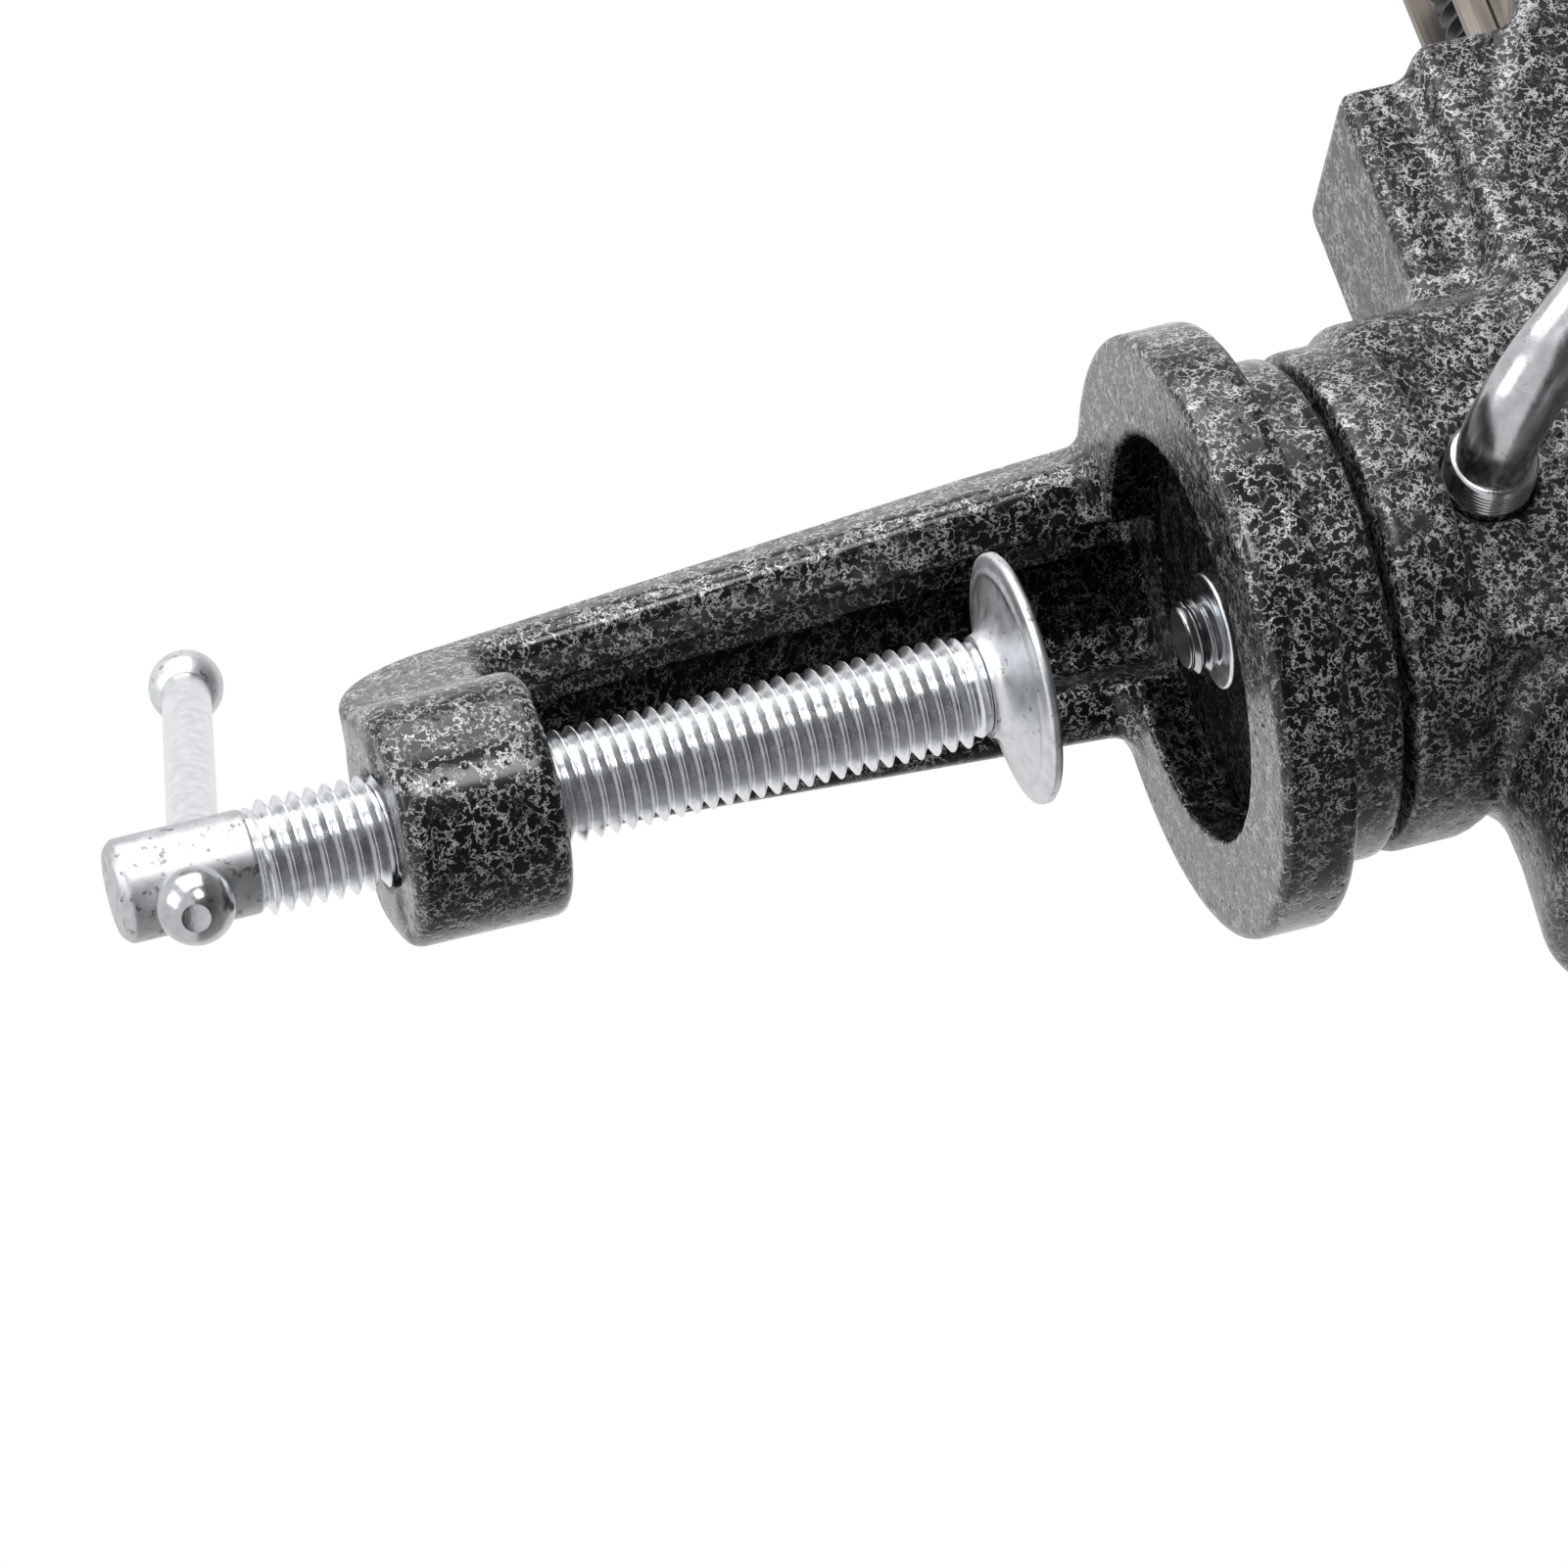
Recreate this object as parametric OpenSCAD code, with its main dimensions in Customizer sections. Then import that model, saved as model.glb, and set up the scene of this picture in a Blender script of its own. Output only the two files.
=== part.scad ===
// Clamp-on table vise: C-clamp base, swivelling head, sliding front jaw, spindle and tommy bars.
// Units mm, +Z up. Origin: swivel axis at the table-bearing face of the clamp flange.
// The head lies along the axes (front jaw at -Y); the clamp arm stands at arm_angle, as photographed.

/* [Clamp frame] */
// Outside diameter of the clamp flange that sits on the table
flange_d = 65.2; // [60:0.2:74]
// Thickness of the clamp flange
flange_t = 8.2; // [6.4:0.2:9]
// Edge rounding of the clamp flange
flange_round = 2.4; // [1:0.2:2.8]
// Diameter of the round recess under the flange
recess_d = 43.6; // [36:0.2:43.8]
// Depth of the round recess under the flange
recess_h = 5.4; // [5:0.1:5.8]
// Diameter of the ring above the flange and of the swivel collar
ring_d = 54; // [49:0.5:58]
// Height from the flange top to the swivel face
ring_h = 7.8; // [6.6:0.2:11]
// Height of the dark groove between ring and collar
seam = 1; // [0.6:0.1:1.6]
// Direction of the clamp arm about the swivel axis, from +X
arm_angle = 41; // [30:0.5:60]
// Distance from the swivel axis to the inner edges of the arm ribs
arm_in = 22; // [22:0.5:26]
// Depth of the arm from rib edge to back
arm_depth = 10.4; // [9.8:0.2:14]
// Width of the arm at the flange
arm_w_top = 31.6; // [29:0.2:35]
// Width of the arm at the boss
arm_w_low = 20.2; // [20:0.2:25]
// Width of one arm rib
rib_t = 6.8; // [5:0.2:8]
// Depth of the pocket between the arm ribs
pocket_depth = 7.9; // [6:0.1:8.2]
// Corner radius at the back of the arm foot
foot_round = 13; // [8:0.5:15]
// Diameter of the threaded boss
boss_d = 25.5; // [22:0.5:30]
// Height of the threaded boss
boss_h = 17; // [14:0.5:22]
// Distance from the table face down to the boss top
throat_h = 70; // [65:0.2:80]

/* [Clamp screw] */
// Thread diameter of the clamp screw
screw_d = 12; // [10:0.5:13]
// Diameter of the plain head of the clamp screw
head_d = 11; // [9.5:0.1:11.4]
// Length of the plain head
head_len = 14; // [12:0.5:18]
// Length of thread showing below the boss
thread_below = 14.8; // [12:0.2:20]
// Clear height between pad and table face as photographed
pad_open = 17.4; // [12:0.2:30]
// Diameter of the swivel pad
pad_d = 27; // [22:0.5:32]
// Height of the swivel pad
pad_h = 4.6; // [4.4:0.1:6]
// Diameter of the clamp tommy bar
bar_d = 5.4; // [4.5:0.1:6]
// Distance between the knob centres of the clamp tommy bar
bar_len = 70; // [56:1:84]
// Diameter of the clamp tommy bar knobs
knob_d = 8.2; // [7.6:0.1:10]
// Direction of the clamp tommy bar about the screw axis, from +X
bar_angle = 46; // [0:1:90]
// Slope of the clamp tommy bar in its skew-drilled hole
bar_tilt = 11.6; // [0:0.2:14]

/* [Swivel] */
// Diameter of the spigot that the head turns on
spigot_d = 22; // [19:0.5:25]
// Height of the spigot above the swivel face
spigot_h = 20; // [18:0.5:21]
// Diameter of the swivel bolt
bolt_d = 8; // [6:0.5:9]
// Diameter of the round nut under the flange
nut_d = 12.7; // [12:0.1:14]
// Height of the swivel bolt's end above the table face
bolt_end = 0.3; // [0.2:0.1:1.5]
// Thickness of the round nut under the flange
nut_h = 1.6; // [1.2:0.1:2]

/* [Vise body] */
// Height of the collar at the foot of the head
collar_h = 9; // [7:0.5:10]
// Width of the flat-sided neck
neck_w = 40; // [36:0.5:44]
// Distance from the swivel axis to the front of the neck
neck_front = 19.2; // [18:0.2:20]
// Distance from the swivel axis to the back of the round front
drum_back = 20.5; // [20.2:0.1:24]
// Step from the jaw sides in to the round front of the body
drum_in = 0.5; // [0.3:0.1:3]
// Distance from the swivel axis to the front face of the fixed jaw
front_y = 42; // [40:0.5:46]
// Distance from the swivel axis to the back of the body
body_back = 55.2; // [50:0.2:64]
// Height of the spindle axis above the table face
screw_z = 58; // [56:0.5:66]
// Width of the sliding bar
slide_w = 18; // [17.4:0.2:22]
// Height of the sliding bar
slide_h = 14.4; // [14:0.2:16]
// Wall thickness of the sliding bar
slide_wall = 2.4; // [2:0.1:2.5]
// Wall beside the tunnel of the sliding bar
tunnel_wall = 6.5; // [5:0.5:9]
// Thickness of the tunnel floor
floor_t = 9.1; // [8.6:0.1:10]
// Width of the keel under the body
keel_w = 24.8; // [20:0.2:28]
// Height of the keel under the body
keel_h = 8.9; // [6:0.1:9]
// Overhang of the anvil behind the body
anvil_over = 10; // [6:0.5:14]
// Height of the anvil above the tunnel roof
anvil_h = 8; // [5:0.5:12]

/* [Jaws] */
// Width of the jaws
jaw_w = 63; // [58:0.5:70]
// Height of the jaws above the sliding bar
jaw_h = 30; // [26:0.5:36]
// Thickness of the jaws from front to back
jaw_t = 17; // [14:0.5:20]
// Gap between the jaw plates as photographed
jaw_gap = 4.5; // [4.4:0.1:12]
// Height of the steel jaw plates
plate_h = 20; // [16:0.5:24]
// Thickness of the steel jaw plates
plate_t = 4.5; // [4:0.1:6]
// Diameter of the jaw plate screws
plate_screw_d = 5; // [4:0.1:6]
// Distance from the end of a jaw plate to its screw
plate_screw_in = 13.5; // [10:0.5:17]
// Step from the jaw sides in to the back of the front jaw barrel
barrel_in = 1.5; // [0.5:0.1:4]
// Diameter of the front jaw barrel at its nose
nose_d = 44; // [38:0.5:50]
// Length of the front jaw barrel
barrel_len = 34; // [32:0.5:44]

/* [Spindle] */
// Thread diameter of the spindle
spindle_d = 10; // [9:0.1:10.4]
// Diameter of the spindle neck in the front jaw
spindle_neck_d = 12; // [11:0.1:12.6]
// Diameter of the spindle head
spindle_head_d = 22; // [18:0.5:26]
// Length of the spindle head
spindle_head_len = 18; // [15:0.5:24]
// Largest jaw opening beyond the photographed one
jaw_travel = 45; // [35:1:45]
// Diameter of the handle bar
handle_d = 8; // [6:0.2:10]
// Length of the handle bar between its knobs
handle_len = 100; // [80:1:120]
// Diameter of the handle knobs
handle_knob_d = 14; // [12:0.5:18]

/* [Lock lever] */
// Height of the lock lever above the swivel face
lever_h = 15.5; // [14:0.1:16]
// Diameter of the lever rod
lever_d = 8.2; // [7:0.1:9]
// Diameter of the lever stud in the neck
stud_d = 10; // [9.4:0.1:11]
// Length of the stud that stands out of the neck
stud_out = 4.5; // [3:0.5:6]
// Angle of the bend in the lever
lever_bend = 65; // [50:1:80]
// Bend radius of the lever at the rod centre
lever_bend_r = 13; // [10:0.5:18]
// Straight length of the lever beyond the bend
lever_len = 64; // [50:1:72]
// Slope of the lever above the horizontal
lever_lift = 57; // [40:1:70]
// Diameter of the lever knob
lever_knob_d = 13; // [11:0.5:16]

/* [Fits] */
// Radial running clearance of screws, bars and pins
run_fit = 0.06; // [0.02:0.01:0.09]
// Clearance of the sliding bar in its tunnel
slide_fit = 0.12; // [0.05:0.01:0.2]
// Clearance between parts that must not touch
free_gap = 0.4; // [0.3:0.05:0.6]

/* [Hidden] */
$fn = 96;
z_swivel = flange_t + ring_h;
z_boss_top = -throat_h;
z_boss_low = -throat_h - boss_h;
z_arm_top = z_boss_top - 0.6;
z_arm_low = z_boss_low + 0.6;
land_r = ring_d / 2 - 5;
flange_edge = flange_d / 2 - flange_round;
arm_back = arm_in + arm_depth;
pocket_low_w = arm_w_low / 2 - rib_t + 2;
foot_back = arm_back - 4.4;
z_pad_top = -pad_open;
z_pad_low = z_pad_top - pad_h;
z_head_top = z_boss_low - thread_below;
z_head_low = z_head_top - head_len;
z_bar = z_head_low + head_len * 0.62;
pin_r = screw_d / 2 - 2.8;
peen_h = 1.2;
knob_off = (head_d / 2 + (bar_d / 2 + run_fit) * sin(bar_tilt)) / cos(bar_tilt)
  + sqrt(knob_d * knob_d / 4 - pow(bar_d / 2 + run_fit, 2)) + 0.3;
z_collar = z_swivel + collar_h;
z_spigot = z_swivel + spigot_h;
slide_low = screw_z - 5.4;
slide_top = slide_low + slide_h;
body_low = slide_low - floor_t;
keel_low = body_low - keel_h;
body_w = slide_w + 2 * tunnel_wall;
roof_z = slide_top + 4;
anvil_z = roof_z + anvil_h;
jaw_top = slide_top + jaw_h;
plate_z = jaw_top - plate_h / 2;
plate_screw_gap = jaw_w - 2 * plate_screw_in;
drum_r = jaw_w / 2 - drum_in;
barrel_r = jaw_w / 2 - barrel_in;
fix_y = -front_y;
mov_y = -front_y - jaw_gap;
nose_y = mov_y - barrel_len;
boss_y = nose_y - 6;
wall_y = nose_y + 8;
slide_y0 = wall_y + 4;
nut_y0 = 8;
nut_y1 = 28;
spindle_end = nut_y1 + jaw_travel + 1;
slide_y1 = spindle_end + 4;
slide_in_w = slide_w - 2 * slide_wall;
slide_in_top = slide_top - 3;
shead_y0 = boss_y - free_gap;
shead_y1 = shead_y0 - spindle_head_len;
handle_y = (shead_y0 + shead_y1) / 2;
hknob_h = 9;
z_lever = z_swivel + lever_h;
neck_x = -neck_w / 2;
stud_x = neck_x - stud_out;
rod_r = lever_d / 2 - 0.05;

// A block of the given half width across X, standing on its side profile [y, z]
module side_profile(half_w, pts) {
  rotate([90, 0, 90])
    translate([0, 0, -half_w])
      linear_extrude(height = 2 * half_w)
        polygon(pts);
}

// A cylinder along -Y from y0, centred at x and z
module rod_back(x, y0, z, len, r0, r1) {
  translate([x, y0, z])
    rotate([90, 0, 0])
      cylinder(h = len, r1 = r0, r2 = r1);
}

// Arm of the clamp before its pocket: side profile met by a tapered front view
module arm_block() {
  intersection() {
    rotate([90, 0, 0])
      translate([0, 0, -30])
        linear_extrude(height = 60)
          polygon([[arm_in, flange_t / 2], [arm_back, flange_t / 2], [arm_back, -12],
            [foot_back, z_arm_low + foot_round], [foot_back, z_arm_low], [0, z_arm_low],
            [0, z_arm_top], [arm_in - 5, z_arm_top], [arm_in, z_arm_top + 4]]);
    rotate([90, 0, 90])
      linear_extrude(height = arm_back + 1)
        polygon([[-arm_w_top / 2, flange_t / 2], [arm_w_top / 2, flange_t / 2],
          [arm_w_low / 2, z_arm_low], [-arm_w_low / 2, z_arm_low]]);
  }
}

// Clamp frame: rounded flange, ring, spigot, channelled arm and threaded boss in one casting
module clamp_frame() {
  color([0.2, 0.2, 0.21])
    difference() {
      union() {
        rotate_extrude()
          polygon(concat([[bolt_d / 2 + run_fit, recess_h], [recess_d / 2, recess_h], [recess_d / 2, 0]],
            [for (i = [0 : 4]) [flange_edge + flange_round * sin(i * 22.5),
              flange_round * (1 - cos(i * 22.5))]],
            [for (i = [4 : -1 : 0]) [flange_edge + flange_round * sin(i * 22.5),
              flange_t - flange_round * (1 - cos(i * 22.5))]],
            [[ring_d / 2, flange_t], [ring_d / 2, z_swivel - seam / 2], [land_r, z_swivel - seam / 2],
              [land_r, z_swivel], [spigot_d / 2, z_swivel], [spigot_d / 2, z_spigot],
              [bolt_d / 2 + run_fit, z_spigot]]));
        rotate([0, 0, arm_angle])
          difference() {
            arm_block();
            difference() {
              translate([foot_back - foot_round, -30, z_arm_low - 1])
                cube([foot_round + 5, 60, foot_round + 1]);
              translate([foot_back - foot_round, 30, z_arm_low + foot_round])
                rotate([90, 0, 0])
                  cylinder(h = 60, r = foot_round);
            }
          }
        translate([0, 0, z_boss_low])
          cylinder(h = boss_h, r = boss_d / 2);
      }
      translate([0, 0, z_boss_low - 1])
        cylinder(h = boss_h + 2, r = screw_d / 2 + run_fit);
      rotate([0, 0, arm_angle])
        intersection() {
          translate([arm_in - 3, 0, 0])
            rotate([90, 0, 90])
              linear_extrude(height = pocket_depth + 3)
                polygon([[rib_t - arm_w_top / 2, recess_h - 0.6], [arm_w_top / 2 - rib_t, recess_h - 0.6],
                  [pocket_low_w, z_boss_top + 5], [-pocket_low_w, z_boss_top + 5]]);
          rotate([90, 0, 0])
            translate([0, 0, -30])
              linear_extrude(height = 60)
                polygon([[arm_in - 4, recess_h + 1], [arm_in + pocket_depth, recess_h + 1],
                  [arm_in + pocket_depth, -12], [arm_in + pocket_depth - 3.9, z_boss_top + 4],
                  [arm_in - 4, z_boss_top + 4]]);
        }
    }
}

// Trumpet-shaped swivel pad on the screw's peened pin
module clamp_pad() {
  color([0.75, 0.76, 0.77])
    translate([0, 0, z_pad_low])
      difference() {
        union() {
          cylinder(h = 1.2, r1 = head_d / 2, r2 = head_d / 2 + 0.5);
          translate([0, 0, 1.2])
            cylinder(h = 1.2, r1 = head_d / 2 + 0.5, r2 = pad_d / 2 - 4.6);
          translate([0, 0, 2.4])
            cylinder(h = pad_h - 3.4, r1 = pad_d / 2 - 4.6, r2 = pad_d / 2);
          translate([0, 0, pad_h - 1])
            cylinder(h = 1, r = pad_d / 2);
        }
        translate([0, 0, -1])
          cylinder(h = pad_h + 2, r = pin_r + run_fit);
        translate([0, 0, pad_h - 1.8])
          cylinder(h = 3, r = pin_r + 2.2);
      }
}

// Clamp screw: plain cross-drilled head, thread as its crest cylinder, pin and peened end
module clamp_screw() {
  color([0.75, 0.76, 0.77])
    difference() {
      union() {
        translate([0, 0, z_head_low])
          cylinder(h = 1, r1 = head_d / 2 - 1, r2 = head_d / 2);
        translate([0, 0, z_head_low + 1])
          cylinder(h = head_len - 1, r = head_d / 2);
        translate([0, 0, z_head_top])
          cylinder(h = z_pad_low - 0.1 - z_head_top, r = screw_d / 2);
        translate([0, 0, z_head_top])
          cylinder(h = z_pad_top - 0.5 - z_head_top, r = pin_r);
        translate([0, 0, z_pad_top - 0.5 - peen_h])
          cylinder(h = peen_h, r = pin_r + 1.4);
      }
      translate([0, 0, z_bar])
        rotate([0, 90 - bar_tilt, bar_angle])
          cylinder(h = 40, r = bar_d / 2 + run_fit, center = true);
    }
}

// Clamp tommy bar, slid away from the viewer until its near knob meets the screw head
module clamp_bar() {
  color([0.75, 0.76, 0.77])
    translate([0, 0, z_bar])
      rotate([0, 90 - bar_tilt, bar_angle])
        translate([0, 0, -knob_off])
          cylinder(h = bar_len, r = bar_d / 2);
}

// Ball knob with a flattened end, pressed on one end of the clamp tommy bar
module clamp_knob(x, side) {
  color([0.75, 0.76, 0.77])
    translate([0, 0, z_bar])
      rotate([0, 90 - bar_tilt, bar_angle])
        translate([0, 0, x])
          rotate([90 - side * 90, 0, 0])
            difference() {
              sphere(r = knob_d / 2);
              translate([-knob_d, -knob_d, knob_d * 0.4])
                cube([2 * knob_d, 2 * knob_d, knob_d]);
              translate([0, 0, -knob_d])
                cylinder(h = knob_d, r = bar_d / 2);
            }
}

module clamp_knob_near() {
  clamp_knob(-knob_off, -1);
}

module clamp_knob_far() {
  clamp_knob(bar_len - knob_off, 1);
}

// Vise body: collar, flat-sided neck, keel, tunnel, fixed jaw and anvil in one casting
module vise_body() {
  color([0.2, 0.2, 0.21])
    difference() {
      union() {
        translate([0, 0, z_swivel])
          cylinder(h = collar_h, r = land_r);
        translate([0, 0, z_swivel + seam / 2])
          cylinder(h = collar_h - seam / 2, r = ring_d / 2);
        intersection() {
          translate([0, 0, z_swivel + seam / 2])
            cylinder(h = body_low + 1 - z_swivel - seam / 2, r = ring_d / 2 + 1.5);
          translate([neck_x, -neck_front, z_collar - 0.5])
            cube([neck_w, 60, body_low + 2 - z_collar]);
        }
        intersection() {
          translate([0, 0, z_collar - 0.5])
            cylinder(h = body_low + 1 - z_collar, r = ring_d / 2 - 2.5);
          translate([neck_x, -ring_d / 2, z_collar - 1])
            cube([neck_w, ring_d / 2, body_low + 2 - z_collar]);
        }
        intersection() {
          rod_back(0, -drum_back, screw_z, front_y - drum_back, drum_r - 1.5, drum_r);
          translate([-60, fix_y - 1, 0])
            cube([120, front_y, roof_z + 4]);
        }
        translate([0, 0, body_low])
          linear_extrude(height = roof_z - body_low)
            polygon([[neck_x, -drum_back - 1], [-neck_x, -drum_back - 1], [-neck_x, 10], [body_w / 2, 32],
              [body_w / 2, body_back], [-body_w / 2, body_back], [-body_w / 2, 32], [neck_x, 10]]);
        side_profile(keel_w / 2, [[0, keel_low], [body_back - 2, keel_low],
          [body_back - 2, body_low + 1], [0, body_low + 1]]);
        side_profile(body_w / 2, [[body_back - 1, body_low + 11.5], [body_back, body_low + 11.5],
          [body_back + anvil_over, body_low + 16], [body_back + anvil_over, anvil_z],
          [body_back - 28, anvil_z], [body_back - 34, roof_z - 1], [body_back - 1, roof_z - 1]]);
        side_profile(jaw_w / 2, [[fix_y, slide_top], [fix_y + jaw_t, slide_top],
          [fix_y + jaw_t, jaw_top - 6], [fix_y + jaw_t - 5, jaw_top], [fix_y, jaw_top]]);
        side_profile(9, [[fix_y + jaw_t - 1, roof_z - 1], [fix_y + jaw_t + 28, roof_z - 1],
          [fix_y + jaw_t - 1, jaw_top - 8]]);
      }
      translate([0, 0, z_swivel - 1])
        cylinder(h = spigot_h + 1 + free_gap, r = spigot_d / 2 + run_fit);
      cylinder(h = slide_low, r = bolt_d / 2 + run_fit);
      translate([0, 0, z_spigot + free_gap + 2])
        cylinder(h = slide_low - z_spigot, r = bolt_d * 0.95);
      translate([-slide_w / 2 - slide_fit, fix_y - 5, slide_low - slide_fit])
        cube([slide_w + 2 * slide_fit, 160, slide_h + 2 * slide_fit]);
      translate([-slide_in_w / 2 + 0.2, nut_y0, slide_low - 5])
        cube([slide_in_w - 0.4, nut_y1 - nut_y0, 6]);
      translate([neck_x - 1, 0, z_lever])
        rotate([0, 90, 0])
          cylinder(h = neck_w / 2 + 1, r = stud_d / 2 + run_fit);
      translate([-jaw_w, fix_y - 1, jaw_top - plate_h])
        cube([2 * jaw_w, plate_t + 1, plate_h + 1]);
      for (s = [-1, 1])
        rod_back(s * plate_screw_gap / 2, fix_y + plate_t + 8, plate_z, 9,
          plate_screw_d / 2 + 0.05, plate_screw_d / 2 + 0.05);
    }
}

// Swivel bolt: round head under the sliding bar, shank down through the spigot
module pivot_bolt() {
  color([0.75, 0.76, 0.77])
    union() {
      translate([0, 0, bolt_end])
        cylinder(h = z_spigot + free_gap + 2.5 - bolt_end, r = bolt_d / 2);
      translate([0, 0, z_spigot + free_gap + 2])
        cylinder(h = 5, r = bolt_d * 0.8);
    }
}

// Round nut on the swivel bolt, hanging in the recess under the flange
module pivot_nut() {
  color([0.75, 0.76, 0.77])
    translate([0, 0, recess_h - 0.2 - nut_h])
      difference() {
        cylinder(h = nut_h, r = nut_d / 2);
        translate([0, 0, -1])
          cylinder(h = nut_h + 2, r = bolt_d / 2);
      }
}

// Spindle nut block, let into the tunnel floor inside the hollow sliding bar
module spindle_nut() {
  color([0.45, 0.43, 0.41])
    difference() {
      translate([-slide_in_w / 2 + 0.2, nut_y0, slide_low - 5])
        cube([slide_in_w - 0.4, nut_y1 - nut_y0, slide_in_top - slide_low + 4.6]);
      rod_back(0, nut_y1 + 1, screw_z, nut_y1 - nut_y0 + 2, spindle_d / 2 + run_fit,
        spindle_d / 2 + run_fit);
    }
}

// Jaw plate with two countersunk holes; y is its working face, dir the way the face looks
module jaw_plate(y, dir) {
  difference() {
    translate([-jaw_w / 2, (dir > 0) ? y - plate_t : y, jaw_top - plate_h])
      cube([jaw_w, plate_t, plate_h]);
    for (s = [-1, 1])
      translate([s * plate_screw_gap / 2, y, plate_z])
        rotate([dir * 90, 0, 0])
          union() {
            translate([0, 0, -1])
              cylinder(h = plate_t + 2, r = plate_screw_d / 2 + 0.05);
            translate([0, 0, -0.01])
              cylinder(h = plate_screw_d / 2, r1 = plate_screw_d, r2 = plate_screw_d / 2);
          }
  }
}

// Countersunk jaw plate screw with a cross-slot left to the surface finish
module plate_screw(x, y, dir) {
  color([0.7, 0.7, 0.71])
    translate([x, y, plate_z])
      rotate([dir * 90, 0, 0])
        union() {
          translate([0, 0, 0.2])
            cylinder(h = plate_screw_d / 2 - 0.2, r1 = plate_screw_d - 0.25, r2 = plate_screw_d / 2);
          translate([0, 0, plate_screw_d / 2 - 0.1])
            cylinder(h = plate_t + 4, r = plate_screw_d / 2);
        }
}

module fixed_jaw_plate() {
  color([0.6, 0.6, 0.6])
    jaw_plate(fix_y, -1);
}

module fixed_screw_left() {
  plate_screw(-plate_screw_gap / 2, fix_y, -1);
}

module fixed_screw_right() {
  plate_screw(plate_screw_gap / 2, fix_y, -1);
}

// Places a piece at the end of the lever's bend, with +Z along the straight rod
module lever_end() {
  translate([stud_x, 0, z_lever])
    rotate([lever_lift, 0, 0])
      translate([-1 - lever_bend_r * sin(lever_bend), lever_bend_r * (1 - cos(lever_bend)), 0])
        rotate([0, 0, 180 - lever_bend])
          rotate([0, 90, 0])
            children();
}

// Lock lever: stud in the neck, smooth bend, straight rod rising to the back
module lock_lever() {
  color([0.75, 0.76, 0.77])
    union() {
      translate([stud_x, 0, z_lever])
        rotate([0, 90, 0])
          cylinder(h = stud_out + neck_w / 2 - spigot_d / 2 - free_gap, r = stud_d / 2);
      translate([stud_x, 0, z_lever])
        rotate([lever_lift, 0, 0])
          translate([1, 0, 0])
            rotate([0, -90, 0])
              cylinder(h = 3, r = rod_r);
      translate([stud_x, 0, z_lever])
        rotate([lever_lift, 0, 0])
          translate([-1, lever_bend_r, 0])
            rotate([0, 0, -90 - lever_bend])
              rotate_extrude(angle = lever_bend)
                translate([lever_bend_r, 0])
                  circle(r = lever_d / 2, $fn = 48);
      lever_end()
        translate([0, 0, -1])
          cylinder(h = lever_len + 1, r = rod_r);
    }
}

// Ball knob pressed on the free end of the lock lever
module lever_knob() {
  color([0.75, 0.76, 0.77])
    lever_end()
      translate([0, 0, lever_len])
        difference() {
          sphere(r = lever_knob_d / 2);
          translate([0, 0, -lever_knob_d])
            cylinder(h = lever_knob_d, r = rod_r);
        }
}

// Front jaw: tapered round barrel below, jaw block above, socket for the sliding bar
module moving_jaw() {
  color([0.2, 0.2, 0.21])
    difference() {
      union() {
        intersection() {
          rod_back(0, mov_y, screw_z, barrel_len, barrel_r, nose_d / 2);
          translate([-60, nose_y - 1, 0])
            cube([120, barrel_len + 2, roof_z + 4]);
        }
        rod_back(0, nose_y + 1, screw_z, 7, nose_d / 2 - 7, nose_d / 2 - 8);
        side_profile(jaw_w / 2, [[mov_y, slide_top - 6], [mov_y - jaw_t + 5, slide_top - 6],
          [mov_y - jaw_t, slide_top], [mov_y - jaw_t, jaw_top - 6], [mov_y - jaw_t + 5, jaw_top],
          [mov_y, jaw_top]]);
        side_profile(9, [[mov_y - jaw_t + 1, roof_z], [mov_y - jaw_t + 1, jaw_top - 8],
          [nose_y + 2, roof_z]]);
      }
      translate([-slide_w / 2, wall_y, slide_low])
        cube([slide_w, barrel_len, slide_h]);
      rod_back(0, wall_y + 1, screw_z, 20, spindle_neck_d / 2 + run_fit, spindle_neck_d / 2 + run_fit);
      rod_back(0, wall_y + 4, screw_z, 4, spindle_neck_d / 2 + 1.4, spindle_neck_d / 2 + 1.4);
      translate([-jaw_w, mov_y - plate_t, jaw_top - plate_h])
        cube([2 * jaw_w, plate_t + 1, plate_h + 1]);
      for (s = [-1, 1])
        rod_back(s * plate_screw_gap / 2, mov_y - plate_t + 1, plate_z, 9,
          plate_screw_d / 2 + 0.05, plate_screw_d / 2 + 0.05);
    }
}

// Hollow sliding bar, open below, fixed in the front jaw and running through the body
module slide_bar() {
  color([0.45, 0.43, 0.41])
    difference() {
      translate([-slide_w / 2, slide_y0, slide_low])
        cube([slide_w, slide_y1 - slide_y0, slide_h]);
      translate([-slide_in_w / 2, slide_y0 - 1, slide_low - 1])
        cube([slide_in_w, slide_y1 - slide_y0 + 2, slide_in_top - slide_low + 1]);
    }
}

module moving_jaw_plate() {
  color([0.6, 0.6, 0.6])
    jaw_plate(mov_y, 1);
}

module moving_screw_left() {
  plate_screw(-plate_screw_gap / 2, mov_y, 1);
}

module moving_screw_right() {
  plate_screw(plate_screw_gap / 2, mov_y, 1);
}

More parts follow.
